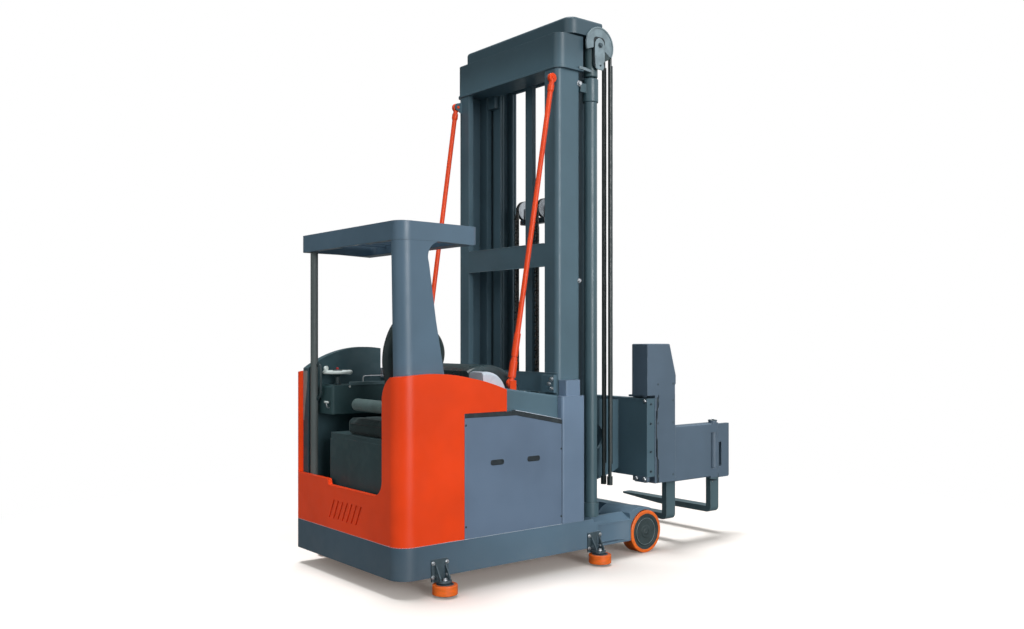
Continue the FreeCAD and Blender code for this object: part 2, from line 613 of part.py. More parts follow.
def side_cover():
    """Right-hand lift-off cover with two recessed grips."""
    outline = [(COVER_X0, SKIRT_TOP), (COVER_X0, COVER_TOP), (COVER_BEND_X, COVER_TOP),
               (COVER_X1, COVER_TOP - COVER_FALL), (COVER_X1, SKIRT_TOP)]
    cover = side_plate(outline, -BODY_HALF, -BODY_HALF + COVER_WALL)
    cover = round_edges(cover, 5, lambda e: e.BoundBox.YMax < -BODY_HALF + 0.1)
    for x in GRIP_X:
        grip = block(x - 50, x + 50, -BODY_HALF - THROUGH, -BODY_HALF + COVER_WALL - 8, GRIP_Z - 15,
                     GRIP_Z + 15)
        cover = cover.cut(round_edges(grip, 11, crosswise))
    return cover


def battery():
    """Traction battery behind the side covers."""
    return block(BATTERY_X0, BATTERY_X1, -BATTERY_HALF, BATTERY_HALF, FLOOR_TOP, BATTERY_TOP)


def deck():
    """Grey deck over the battery, inset above the side covers."""
    x0 = BULKHEAD_X + BULKHEAD_THICK
    x1 = FOOT_X0 - 3
    half = BODY_HALF - DECK_INSET
    top = side_plate([(x0, BATTERY_TOP), (x0, DECK_TOP), (x1, DECK_FRONT_TOP), (x1, BATTERY_TOP)],
                     -half, half)
    return round_edges(top, 14, lambda e: abs(e.Vertexes[0].Point.z - e.Vertexes[-1].Point.z) > 1
                       and abs(e.Vertexes[0].Point.x - e.Vertexes[-1].Point.x) > 1)


def hood_cover():
    """Black domed cover behind the mast, over the pump compartment."""
    x0 = BULKHEAD_X + BULKHEAD_THICK + 3
    dome = side_plate([(x0, DECK_FRONT_TOP), (x0, HOOD_TOP - 38),
                       ((x0 + 157, HOOD_TOP), (HOOD_X1, HOOD_TOP - 150)),
                       (HOOD_X1, DECK_FRONT_TOP)], -HOOD_HALF, HOOD_HALF)
    dome = round_edges(dome, 34, lambda e: abs(e.Vertexes[0].Point.y) > HOOD_HALF - 1
                       and e.Curve.TypeId == "Part::GeomCircle")
    return dome.cut(deck())


def hood_fairing():
    """Right-hand light fairing, a crescent between the hood and the cowl's crowned edge."""
    x0 = BULKHEAD_X + BULKHEAD_THICK + 3
    x1 = COWL_LENGTH + 19
    shape = side_plate([(x0, DECK_TOP - 18), (x0, COWL_TOP + COWL_CROWN), ((x1 - 81, COWL_TOP + 8),
                                                                        (x1, COWL_TOP - 72)),
                        (x1, DECK_FRONT_TOP + 15)], -BODY_HALF + COWL_WALL + 6, -HOOD_HALF - 4)
    shape = round_edges(shape, 22, lambda e: e.Curve.TypeId == "Part::GeomCircle")
    return shape.cut(deck())


def overhead_guard():
    """Roof frame and its broad right-hand pillar, which flares into the roof."""
    z_low = GUARD_TOP - GUARD_DEPTH
    z_front = GUARD_TOP - GUARD_FRONT_DEPTH
    roof = side_plate([(GUARD_X0, z_low), (GUARD_X0, GUARD_TOP), (GUARD_X1, GUARD_TOP - 6),
                       (GUARD_X1, z_front), (GUARD_X1 - 60, z_front - 10), (PILLAR_X1 - 40, z_low)],
                      -GUARD_HALF, GUARD_HALF)
    roof = round_edges(roof, LEFT_CORNER_R, lambda e: upright(e) and e.Vertexes[0].Point.y > 0)
    roof = round_edges(roof, GUARD_CORNER_R, lambda e: upright(e) and e.Vertexes[0].Point.y < 1 - GUARD_HALF)
    hole = block(GUARD_X0 + GUARD_RIM, GUARD_X1 - GUARD_RIM, -GUARD_HALF + GUARD_RIM,
                 GUARD_HALF - GUARD_RIM, z_low - THROUGH, GUARD_TOP + THROUGH)
    roof = roof.cut(round_edges(hole, GUARD_CORNER_R - GUARD_RIM, upright))
    slot = block(GUARD_X0 + 12, GUARD_X0 + GUARD_RIM + THROUGH, -200, 120, z_low - THROUGH, z_low + 26)
    y0 = -GUARD_HALF + SINK
    outline = [(PILLAR_X0, FLOOR_TOP), (PILLAR_X0, COWL_TOP), (GUARD_X0 + SINK, GUARD_TOP - 30),
               (300, GUARD_TOP - 30), (300, z_low), ((240, z_low - 36), (227, z_low - 128)),
               (277, 1620), (PILLAR_X1, COWL_TOP), (PILLAR_X1, FLOOR_TOP)]
    pillar = side_plate(outline, y0, -GUARD_HALF + PILLAR_WIDTH)
    pillar = round_edges(pillar, GUARD_CORNER_R, lambda e: e.BoundBox.ZLength > 400
                         and e.BoundBox.XMax < PILLAR_X0 + 1 and e.BoundBox.YMax < y0 + 1)
    return roof.cut(slot).fuse(pillar).removeSplitter()


def guard_bars():
    """Roof bars over the driver's head."""
    span = 2 * (GUARD_HALF - GUARD_RIM)
    pitch = span / (GUARD_BARS + 1)
    bars = []
    for i in range(GUARD_BARS):
        y = -GUARD_HALF + GUARD_RIM + (i + 1) * pitch - BAR_WIDTH / 2
        bars.append(block(GUARD_X0 + GUARD_RIM, GUARD_X1 - GUARD_RIM, y, y + BAR_WIDTH,
                          GUARD_TOP - 60, GUARD_TOP - 14))
    return Part.makeCompound(bars)


def guard_post():
    """Slim post at the left of the driver's entry, with a foot plate."""
    z0 = CAB_FLOOR_Z + FLOOR_THICK
    post = rod(V(POST_X, GUARD_POST_Y, z0), Z_AXIS, POST_R, GUARD_TOP - GUARD_DEPTH - z0)
    foot = rod(V(POST_X + 6, GUARD_POST_Y, z0), Z_AXIS, POST_R + 10, 10)
    return post.fuse(foot).removeSplitter()


def cab_wall():
    """Dark lining of the left cab wall with its curved top edge."""
    x0 = COWL_WALL + 6
    return side_plate([(x0, SKIRT_TOP), (x0, COWL_TOP + 26), ((270, LINING_TOP - 18), (BULKHEAD_X, LINING_TOP)),
                       (BULKHEAD_X, SKIRT_TOP)], LINING_Y, BODY_HALF - COWL_WALL)


def cab_bulkhead():
    """Wall between the driver and the battery, with a grab rail along its top."""
    half = BODY_HALF - COWL_WALL
    top = DECK_TOP + 11
    wall = block(BULKHEAD_X, BULKHEAD_X + BULKHEAD_THICK, -half, half, FLOOR_TOP, top)
    rail_z = top + 35
    x = BULKHEAD_X + BULKHEAD_THICK / 2
    rail = rod(V(x, -40, rail_z), Y_AXIS, 9, 520)
    feet = [rod(V(x, y, top - SINK), Z_AXIS, 8, rail_z - top + SINK) for y in (0, 440)]
    return wall.fuse([rail] + feet).removeSplitter()


def console():
    """Control console in front of the driver, narrower above its sloping shoulder."""
    section = [(CONSOLE_Y, CONSOLE_Z0), (CONSOLE_Y, CONSOLE_TOP), (LINING_Y - 50, CONSOLE_TOP),
               (LINING_Y - 50, CONSOLE_TOP - 100), (LINING_Y, CONSOLE_Z0 + 20), (LINING_Y, CONSOLE_Z0)]
    body = cross_plate(section, POST_X + POST_R + 13, BULKHEAD_X)
    return round_edges(body, 18, lambda e: e.BoundBox.XMax < POST_X + POST_R + 14
                       and e.BoundBox.ZMax > CONSOLE_Z0 + 30)


def steering_wheel():
    """Small steering wheel with its spinner knob."""
    x, y = WHEEL_X, LINING_Y - WHEEL_INSET
    z = CONSOLE_TOP + 65
    rim = Part.makeTorus(RIM_R, 12, V(x, y, z), Z_AXIS)
    hub = rod(V(x, y, CONSOLE_TOP + FIT), Z_AXIS, 30, 70)
    spoke = block(x - RIM_R, x + RIM_R, y - 12, y + 12, z - 7, z + 5)
    knob = rod(V(x - RIM_R, y, z), Z_AXIS, 16, 48)
    knob = round_edges(knob, 8, lambda e: circle_of(e, 16) and e.BoundBox.ZMin > z + 40)
    return rim.fuse([hub, knob, spoke]).removeSplitter()


def seat_base():
    """Pedestal under the seat."""
    x0 = POST_X + 2
    x1 = BULKHEAD_X - 3
    y0 = COLUMN_Y + 3
    wall = PEDESTAL_WALL
    base = round_edges(block(x0, x1, y0, PEDESTAL_Y, FLOOR_TOP, SEAT_Z), 30, upright)
    inside = block(x0 + wall, x1 - wall, y0 + wall, PEDESTAL_Y - wall, FLOOR_TOP - 1, SEAT_Z - wall)
    return base.cut(round_edges(inside, 18, upright))


def seat_cushion():
    """Seat cushion, higher at its front edge."""
    pad = cross_plate([(SEAT_FACE_Y + 4, SEAT_Z), (SEAT_FACE_Y + 4, SEAT_Z + SEAT_PAD - 6),
                       (CUSHION_Y1 - 60, SEAT_Z + SEAT_PAD - 14), (CUSHION_Y1, SEAT_Z + SEAT_PAD),
                       (CUSHION_Y1, SEAT_Z)], 78, 548)
    return round_edges(pad, 26, lambda e: True)


def seat_back():
    """Seat back against the right side of the cab, waisted and with a rounded head."""
    top = SEAT_BACK_TOP
    pad = side_plate([(70, SEAT_Z), (60, top - 410), ((46, top - 240), (88, top - 110)),
                      ((250, top), (415, top - 100)), ((490, top - 220), (462, top - 350)), (468, SEAT_Z)],
                     SEAT_BACK_Y, SEAT_FACE_Y)
    return round_edges(pad, 30, lambda e: e.BoundBox.YLength < 1)


def armrest():
    """Padded armrest beside the entry."""
    pad = rod(V(116, SEAT_FACE_Y, ARMREST_Z), Y_AXIS, ARMREST_R, ARMREST_LENGTH)
    return round_edges(pad, 12, lambda e: circle_of(e, ARMREST_R) and e.BoundBox.YMin > SEAT_FACE_Y + 1)


def cab_floor():
    """Driver's floor plate with two pedals."""
    z = CAB_FLOOR_Z + FLOOR_THICK
    plate = block(COWL_WALL + 3, BULKHEAD_X, PEDESTAL_Y, LINING_Y, CAB_FLOOR_Z, z)
    pedals = [side_plate([(x, z - SINK), (x + 90, z + 46), (x + 90, z + 56), (x - 16, z - SINK)],
                         PEDESTAL_Y + 40, LINING_Y - 60) for x in (250, 400)]
    return plate.fuse(pedals).removeSplitter()


# ---------------------------------------------------------------- mast
def rail(x0, depth, half, width, wall, z0, z1):
    """Right-hand channel rail, open towards the centre plane, rounded at the outer corners."""
    body = block(x0, x0 + depth, -half, -half + width, z0, z1)
    body = round_edges(body, wall * 0.9, lambda e: upright(e) and e.Vertexes[0].Point.y < -half + 1)
    return body.cut(block(x0 + wall, x0 + depth - wall, -half + wall, -half + width + 1, z0 - 1, z1 + 1))


def stay_ends():
    """Centres of the lower and upper eyes of the right-hand stay."""
    low = V(STAY_LOW_X, -MAST_HALF + STAY_LOW_INSET, DECK_TOP - 2)
    return low, V(MAST_X0 - 34, -MAST_HALF + STAY_HIGH_INSET, OUTER_CROWN_Z0 - 86)


def stay_lug():
    """Plate behind the right rail that holds the stay's upper eye."""
    eye = stay_ends()[1]
    y0 = eye.y + STAY_R + 2
    lug = side_plate([(MAST_X0 + SINK, eye.z - 46), (MAST_X0 + SINK, eye.z + 40), (eye.x, eye.z + 30),
                      ((eye.x - 26, eye.z), (eye.x, eye.z - 26))], y0, y0 + 10)
    return lug.cut(rod(V(eye.x, y0 - 1, eye.z), Y_AXIS, STAY_PIN_R + FIT, 12))


def outer_mast():
    """Fixed stage: two deep rails, middle beam, bottom beam and a lipped crown."""
    right = rail(MAST_X0, RAIL_DEPTH, MAST_HALF, RAIL_WIDTH, RAIL_WALL, SKIRT_TOP, OUTER_CROWN_Z0 + 5)
    inner = MAST_INNER + SINK
    middle = block(MAST_X0, MAST_X0 + 24, -inner, inner, *BEAM_MID_Z)
    bottom = block(MAST_X0, MAST_X0 + 40, -inner, inner, *BEAM_LOW_Z)
    foot = block(MAST_X0, MAST_X0 + 60, -inner, inner, SKIRT_TOP, SKIRT_TOP + 160)
    clamps = [block(MAST_X0 - 26, MAST_X0 + SINK, y, y + 130, BEAM_LOW_Z[0], BEAM_LOW_Z[1] - 15)
              for y in (-MAST_HALF + 10, MAST_HALF - 140)]
    lug = stay_lug()
    half = MAST_HALF + CROWN_LIP
    crown = block(MAST_X0 - 4, MAST_X1 + 3, -half, half, OUTER_CROWN_Z0, OUTER_CROWN_Z1)
    crown = round_edges(crown, 60, lambda e: upright(e) and e.Vertexes[0].Point.x < MAST_X0)
    lip = block(MAST_X0 - 12, MAST_X1 + 3, -half - 8, half + 8, OUTER_CROWN_Z0 - 10, OUTER_CROWN_Z0 + 4)
    lip = round_edges(lip, 66, lambda e: upright(e) and e.Vertexes[0].Point.x < MAST_X0)
    lip = lip.cut(block(MAST_X0 + 16, MAST_X1 + 4, -MAST_HALF, MAST_HALF, OUTER_CROWN_Z0 - 11,
                        OUTER_CROWN_Z0 + 5))
    hollow = block(MAST_X0 + 16, MAST_X1 + 4, -MAST_HALF, MAST_HALF, OUTER_CROWN_Z0 - 1,
                   OUTER_CROWN_Z1 - 16)
    hollow = round_edges(hollow, 45, lambda e: upright(e) and e.Vertexes[0].Point.x < MAST_X0 + 17)
    lid = block(MAST_X0 + 12, MAST_X1, -MAST_HALF, MAST_HALF, OUTER_CROWN_Z0, OUTER_CROWN_Z0 + 16)
    pad = block(MAST_X1 - 30, MID_X0 - FIT, -MAST_INNER - SINK, -MAST_INNER + 80, OUTER_CROWN_Z0 - 90,
                OUTER_CROWN_Z0 + SINK)
    return right.fuse([mirrored(right), middle, bottom, foot, crown.cut(hollow), lip, lid, pad,
                       mirrored(pad), lug, mirrored(lug)] + clamps).removeSplitter()


def middle_mast():
    """Second stage: channel rails ahead of the outer mast under a crown that overhangs it."""
    right = rail(MID_X0, MID_DEPTH, MID_HALF, MID_WIDTH, MID_WALL, SKIRT_TOP + 20, MID_CROWN_Z1)
    half = MAST_HALF + MID_CROWN_OVERHANG
    x0 = MID_X0 - MID_CROWN_BACK - 8
    crown = block(x0, MID_X1, -half, half, MID_CROWN_Z0, MID_CROWN_Z1)
    crown = round_edges(crown, 70, lambda e: upright(e) and e.Vertexes[0].Point.x < x0 + 1)
    crown = round_edges(crown, 20, lambda e: e.BoundBox.ZMin > MID_CROWN_Z1 - 1 and e.BoundBox.XMin < MID_X1 - 1)
    crown = crown.cut(block(MID_X0 + MID_WALL, MID_X1 + 1, -MID_HALF + MID_WALL, MID_HALF - MID_WALL,
                            MID_CROWN_Z0 - 1, MID_CROWN_Z1 + 1))
    guide = block(MID_X0 + 2, MID_X0 + 36, -38, 38, 700, MID_CROWN_Z0 + SINK)
    tie = block(MID_X0, MID_X0 + 14, -MID_HALF + MID_WALL, MID_HALF - MID_WALL, 560, 700)
    x_mid = MAST_X0 + RAIL_DEPTH / 2
    y_web = -MAST_HALF + RAIL_WALL
    rollers = []
    for z in (520, 900):
        roller = rod(V(x_mid, y_web + RUN, z), Y_AXIS, RAIL_DEPTH / 2 - RAIL_WALL - FIT,
                     -MID_HALF + 4 - y_web)
        arm = block(x_mid - 30, MID_X0 + SINK, -MID_HALF, -MID_HALF + 18, z - 40, z + 40)
        rollers += [roller, arm, mirrored(roller), mirrored(arm)]
    return right.fuse([mirrored(right), crown, guide, tie] + rollers).removeSplitter()


def inner_mast():
    """Third stage, running inside the channels of the second."""
    x0, x1, half = INNER_X0, INNER_X1, INNER_HALF
    right = rail(x0, INNER_DEPTH, half, INNER_WIDTH, INNER_WALL, INNER_Z0, INNER_TOP)
    pads = []
    for z in (SKIRT_TOP + 50, 1050):
        pad = block(x0 - RUN + FIT, x1 + RUN - FIT, -half - RUN + FIT, -half + 20, z, z + 60)
        pads.append(pad.cut(block(x0 + INNER_WALL, x1 - INNER_WALL, -half + INNER_WALL - 1,
                                  -INNER_INNER, z - 1, z + 61)))
    top_tie = block(x1 - 20, x1, -INNER_INNER - SINK, INNER_INNER + SINK, INNER_TOP - 90, INNER_TOP)
    low_tie = block(x0 + 42, x1, -INNER_INNER - SINK, INNER_INNER + SINK, INNER_Z0, INNER_Z0 + 40)
    return right.fuse([mirrored(right), top_tie, low_tie] + pads
                      + [mirrored(pad) for pad in pads]).removeSplitter()


def lift_barrel():
    """Right-hand main lift cylinder, standing beside the middle stage, with foot and clamp."""
    x, y = LIFT_CYL_X, -LIFT_CYL_Y
    barrel = rod(V(x, y, SKIRT_TOP), Z_AXIS, LIFT_CYL_R, BARREL_TOP - SKIRT_TOP)
    foot = rod(V(x, y, SKIRT_TOP), Z_AXIS, LIFT_CYL_R + 10, 95)
    collar = rod(V(x, y, BARREL_TOP - 127), Z_AXIS, LIFT_CYL_R + 8, 160)
    collar = round_edges(collar, 6, lambda e: circle_of(e, LIFT_CYL_R + 8))
    clamp = block(MAST_X1, x, y - 14, y + 14, BARREL_TOP - 67, BARREL_TOP - 7)
    bore = rod(V(x, y, SKIRT_TOP + 100), Z_AXIS, LIFT_ROD_R + SPIN, BARREL_TOP)
    return barrel.fuse([foot, collar, clamp]).cut(bore)


def lift_rod():
    """Rod of the right-hand lift cylinder, with its head sleeve under the middle crown."""
    x, y = LIFT_CYL_X, -LIFT_CYL_Y
    z0 = SKIRT_TOP + 203
    bar = rod(V(x, y, z0), Z_AXIS, LIFT_ROD_R, MID_CROWN_Z0 - z0)
    head = rod(V(x, y, BARREL_TOP + 43), Z_AXIS, LIFT_HEAD_R, MID_CROWN_Z0 - BARREL_TOP - 43)
    head = round_edges(head, 8, lambda e: circle_of(e, LIFT_HEAD_R) and e.BoundBox.ZMax < MID_CROWN_Z0 - 1)
    return bar.fuse(head).removeSplitter()


def stay():
    """Right-hand stay from the deck to the outer crown, with eyes and a tension nut."""
    low, high = stay_ends()
    along = high - low
    bar = rod(low, along, STAY_R, along.Length)
    eyes = []
    for point in (low, high):
        eye = rod(point - Y_AXIS * 14, Y_AXIS, STAY_EYE_R, 28)
        eyes.append(round_edges(eye, 6, lambda e: circle_of(e, STAY_EYE_R)))
    sleeve = rod(low + along * 0.018, along, 25, 105)
    nut = rod(low + along * 0.068, along, 21, 26)
    neck = rod(low + along * 0.086, along, 22, 150)
    lug = block(low.x - 25, low.x + 25, low.y - 25, low.y - 16, DECK_FRONT_TOP, low.z + 18).cut(deck())
    pins = [rod(point - Y_AXIS * 22, Y_AXIS, STAY_PIN_R, 52) for point in (low, high)]
    return bar.fuse(eyes + [sleeve, nut, neck, lug] + pins).removeSplitter()


def hose_sheave():
    """Twin hose sheave on the right end of the middle crown, with its cheeks and axle."""
    discs = []
    for y in HOSE_Y:
        disc = rod(V(SHEAVE_X, y - 22, SHEAVE_Z), Y_AXIS, SHEAVE_R, 44)
        groove = ring(V(SHEAVE_X, y - HOSE_R - 2, SHEAVE_Z), Y_AXIS, SHEAVE_R + 1,
                      SHEAVE_R - 2 * HOSE_R, 2 * HOSE_R + 4)
        discs.append(disc.cut(groove))
    shaft = rod(V(SHEAVE_X, HOSE_Y[0] - 40, SHEAVE_Z), Y_AXIS, 16, HOSE_Y[1] - HOSE_Y[0] + 80)
    cheeks = []
    for y in (HOSE_Y[0] - 38, HOSE_Y[1] + 28):
        cheek = side_plate([(MID_X1, SHEAVE_Z - 12), (MID_X1, SHEAVE_Z + 71),
                            (SHEAVE_X - 40, SHEAVE_Z + 62),
                            ((SHEAVE_X + 44, SHEAVE_Z + 30), (SHEAVE_X + 40, SHEAVE_Z - 62)),
                            ((SHEAVE_X, SHEAVE_Z - 96), (SHEAVE_X - 40, SHEAVE_Z - 62))], y, y + 10)
        cheeks.append(cheek)
    return discs[0].fuse(discs[1:] + [shaft] + cheeks).removeSplitter()


def hose_runs():
    """Two hoses over the twin sheave: long runs down to the carriage, short ones to the crown."""
    wrap_r = SHEAVE_R - HOSE_R + FIT
    hoses = []
    for y in HOSE_Y:
        front = rod(V(SHEAVE_X + wrap_r, y, HOSE_BOTTOM), Z_AXIS, HOSE_R, SHEAVE_Z - HOSE_BOTTOM)
        back = rod(V(SHEAVE_X - wrap_r, y, SHEAVE_Z - 240), Z_AXIS, HOSE_R, 240)
        end = rod(V(SHEAVE_X + wrap_r, y, HOSE_BOTTOM), Z_AXIS, HOSE_R + 7, 60)
        loop = Part.makeTorus(wrap_r, HOSE_R, V(SHEAVE_X, y, SHEAVE_Z), Y_AXIS, -180, 180, 360)
        loop = loop.common(block(SHEAVE_X - 200, SHEAVE_X + 200, y - 30, y + 30, SHEAVE_Z, SHEAVE_Z + 200))
        hoses.append(front.fuse([back, end, loop]).removeSplitter())
    return Part.makeCompound(hoses)


def free_lift_barrel():
    """Free-lift cylinder standing on the inner mast's lower tie."""
    base = INNER_Z0 + 40
    barrel = rod(V(FREE_X, FREE_Y, base), Z_AXIS, FREE_CYL_R, 1950)
    return barrel.cut(rod(V(FREE_X, FREE_Y, base + 50), Z_AXIS, FREE_ROD_R + SPIN, 2000))


def free_lift_head():
    """Free-lift rod with its crosshead and two chain sheaves."""
    z = CHAIN_SHEAVE_Z - 105
    stem = rod(V(FREE_X, FREE_Y, 500), Z_AXIS, FREE_ROD_R, z + 5 - 500)
    yoke = block(FREE_X - 22, FREE_X + 22, CHAIN_Y[0] - 26, CHAIN_Y[1] + 26, z, z + 40)
    yoke = round_edges(yoke, 12, lambda e: straight(e, X_AXIS))
    parts = [yoke]
    for y in CHAIN_Y:
        sheave = rod(V(FREE_X, y - 16, CHAIN_SHEAVE_Z), Y_AXIS, CHAIN_SHEAVE_R + 6, 32)
        groove = ring(V(FREE_X, y - CHAIN_WIDTH / 2 - 1, CHAIN_SHEAVE_Z), Y_AXIS, CHAIN_SHEAVE_R + 7,
                      CHAIN_SHEAVE_R, CHAIN_WIDTH + 2)
        parts.append(sheave.cut(groove))
        parts += [block(FREE_X - 14, FREE_X + 14, side, side + 8, z + 39, CHAIN_SHEAVE_Z + 14)
                  for side in (y - 25, y + 17)]
        parts.append(rod(V(FREE_X, y - 26, CHAIN_SHEAVE_Z), Y_AXIS, 12, 52))
    return stem.fuse(parts).removeSplitter()


def lift_chain(y):
    """Leaf chain over one crosshead sheave: rear run to the mast's tie, front run to the carriage."""
    r0 = CHAIN_SHEAVE_R + FIT
    r1 = r0 + CHAIN_THICK
    y0 = y - CHAIN_WIDTH / 2
    wrap = ring(V(FREE_X, y0, CHAIN_SHEAVE_Z), Y_AXIS, r1, r0, CHAIN_WIDTH)
    wrap = wrap.common(block(FREE_X - r1, FREE_X + r1, y0, y0 + CHAIN_WIDTH, CHAIN_SHEAVE_Z,
                             CHAIN_SHEAVE_Z + r1))
    rear_end = INNER_Z0 + 5
    front = block(FREE_X + r0, FREE_X + r1, y0, y0 + CHAIN_WIDTH, CHAIN_END_Z, CHAIN_SHEAVE_Z + SINK)
    rear = block(FREE_X - r1, FREE_X - r0, y0, y0 + CHAIN_WIDTH, rear_end, CHAIN_SHEAVE_Z + SINK)
    plates = []
    count = int((CHAIN_SHEAVE_Z - CHAIN_END_Z) / LINK_PITCH)
    for i in range(1, count):
        z = CHAIN_END_Z + i * LINK_PITCH
        plates.append(block(FREE_X + r0 - 2, FREE_X + r1 + 2, y0, y0 + CHAIN_WIDTH, z, z + LINK_PITCH / 2))
    anchor = block(FREE_X + r0, TIE_X - FIT, y0, y0 + CHAIN_WIDTH, CHAIN_END_Z - 10, CHAIN_END_Z + 50)
    foot = block(FREE_X - r1, INNER_X0 + 42 - FIT, y0, y0 + CHAIN_WIDTH, rear_end, rear_end + 60)
    return wrap.fuse([front, rear, anchor, foot] + plates).removeSplitter()


# ---------------------------------------------------------------- head
def carriage():
    """Mast carriage: side plates with rollers in the inner rails, tied to the traverse frame."""
    y_out = CARRIAGE_HALF
    x_mid = MID_X0 + MID_DEPTH / 2
    roller_r = MID_DEPTH / 2 - MID_WALL - RUN - INNER_WALL - FIT
    roller_y = -INNER_HALF + INNER_WALL + FIT
    top = TRAVERSE_Z1 + 10
    end_x = TRAVERSE_X0 + SINK
    outline = [(MID_X0 + 31, PLATE_BOTTOM), (MID_X0 + 31, top), (TIE_X, top), (end_x, top - 30),
               (end_x, PLATE_BOTTOM + 80), ((TIE_X + 200, PLATE_BOTTOM + 20), (TIE_X + 60, PLATE_BOTTOM))]
    plate = side_plate(outline, -y_out, -y_out + TIE_THICK)
    middle = V((TIE_X + TRAVERSE_X0) / 2 - 46, -y_out - 1, (TRAVERSE_Z0 + TRAVERSE_Z1) / 2)
    plate = plate.cut(rod(middle, Y_AXIS, 90, TIE_THICK + 2))
    rollers = [rod(V(x_mid, roller_y, z), Y_AXIS, roller_r, -y_out - roller_y + SINK) for z in (540, 1020)]
    ties = [block(TIE_X, TIE_X + TIE_THICK, -y_out, y_out, z, z + 90) for z in (TRAVERSE_Z0, top - 130)]
    back = block(TRAVERSE_X0 - 18, TRAVERSE_X0 + SINK, -y_out, y_out, TRAVERSE_Z0 + 60, TRAVERSE_Z1 - 40)
    frame = block(TRAVERSE_X0, TRAVERSE_X0 + 30, -TRAVERSE_HALF, TRAVERSE_HALF, TRAVERSE_Z0 + 20,
                  TRAVERSE_Z1 - 20)
    rails = [block(TRAVERSE_X0, TRAVERSE_X1, -TRAVERSE_HALF, TRAVERSE_HALF, z, z + 50)
             for z in (TRAVERSE_Z0, TRAVERSE_Z1 - 50)]
    ends = [block(TRAVERSE_X0, TRAVERSE_X1, y, y + 12, TRAVERSE_Z0, TRAVERSE_Z1)
            for y in (-TRAVERSE_HALF, TRAVERSE_HALF - 12)]
    body = plate.fuse([mirrored(plate), back, frame] + rollers + [mirrored(r) for r in rollers]
                      + ties + rails + ends)
    for i in range(int(2 * TRAVERSE_HALF / RACK_PITCH) - 1):
        y = -TRAVERSE_HALF + 30 + i * RACK_PITCH
        gap = side_plate([(TRAVERSE_X1 - 34, TRAVERSE_Z0 - 1), (TRAVERSE_X1 - 34, TRAVERSE_Z0 + RACK_TOOTH),
                          (TRAVERSE_X1 + 1, TRAVERSE_Z0 + RACK_TOOTH), (TRAVERSE_X1 + 1, TRAVERSE_Z0 - 1)],
                         y, y + RACK_PITCH / 2)
        body = body.cut(gap)
    return body.removeSplitter()


def slide_groove(y0):
    """Cutter for the stepped joint line between the slide and the post, on the outer face."""
    x = POST_X0 + 32
    step = 22.0
    wide = 9.0
    top = TRAVERSE_Z1 + HEAD_GAP
    turn_up = TRAVERSE_Z1 - 95
    turn_low = TRAVERSE_Z0 + 110
    left = [(x, top), (x, turn_up + 35), (x - step, turn_up), (x - step, turn_low + 35), (x, turn_low),
            (x, POST_BOTTOM - 1)]
    right = [(px + wide, pz) for px, pz in reversed(left)]
    return side_plate(left + right, y0 - 1, y0 + 16)


def head_arm():
    """L-shaped arm that traverses on the frame and carries the swivel pin at its tip."""
    y0 = -POST_OUTER_Y
    z_cap = TRAVERSE_Z1 + HEAD_GAP
    cap = side_plate([(TRAVERSE_X0, z_cap), (TRAVERSE_X0, POST_TOP), (2325, POST_TOP),
                      (POST_FRONT_X + 7, 1240), (POST_FRONT_X + 7, 1180), (POST_FRONT_X - 1, 1170),
                      (POST_FRONT_X - 1, z_cap - 10), (POST_X0, z_cap - 10), (POST_X0, z_cap)],
                     y0, y0 + POST_WIDTH)
    cap = round_edges(cap, 8, lambda e: e.BoundBox.ZMin > POST_TOP - 1)
    post = block(POST_X0, POST_FRONT_X, y0, y0 + ARM_THICK, POST_BOTTOM, z_cap)
    back = block(POST_X0, POST_X0 + 60, y0, y0 + 220, POST_BOTTOM, z_cap)
    hook = block(TRAVERSE_X0 + 36, POST_X0 + SINK, y0 + 80, y0 + 220, z_cap - 14, z_cap)
    arm = block(POST_FRONT_X - SINK, PIVOT_X - 71, y0, y0 + ARM_THICK, ARM_Z0 + 8, ARM_Z1)
    arm = round_edges(arm, 10, lambda e: straight(e, X_AXIS) and e.Vertexes[0].Point.y < y0 + 1)
    knuckles = []
    for z in (ARM_Z0, ARM_Z1 - KNUCKLE):
        knuckles.append(block(PIVOT_X - 72, PIVOT_X, y0, y0 + ARM_THICK, z, z + KNUCKLE))
        knuckles.append(rod(V(PIVOT_X, PIVOT_Y, z), Z_AXIS, ARM_THICK / 2, KNUCKLE))
    shape = cap.fuse([post, back, hook, arm] + knuckles)
    bore = rod(V(PIVOT_X, PIVOT_Y, ARM_Z0 - 1), Z_AXIS, PIVOT_R + SPIN, ARM_Z1 - ARM_Z0 + 2)
    return shape.cut(bore).cut(slide_groove(y0)).removeSplitter()


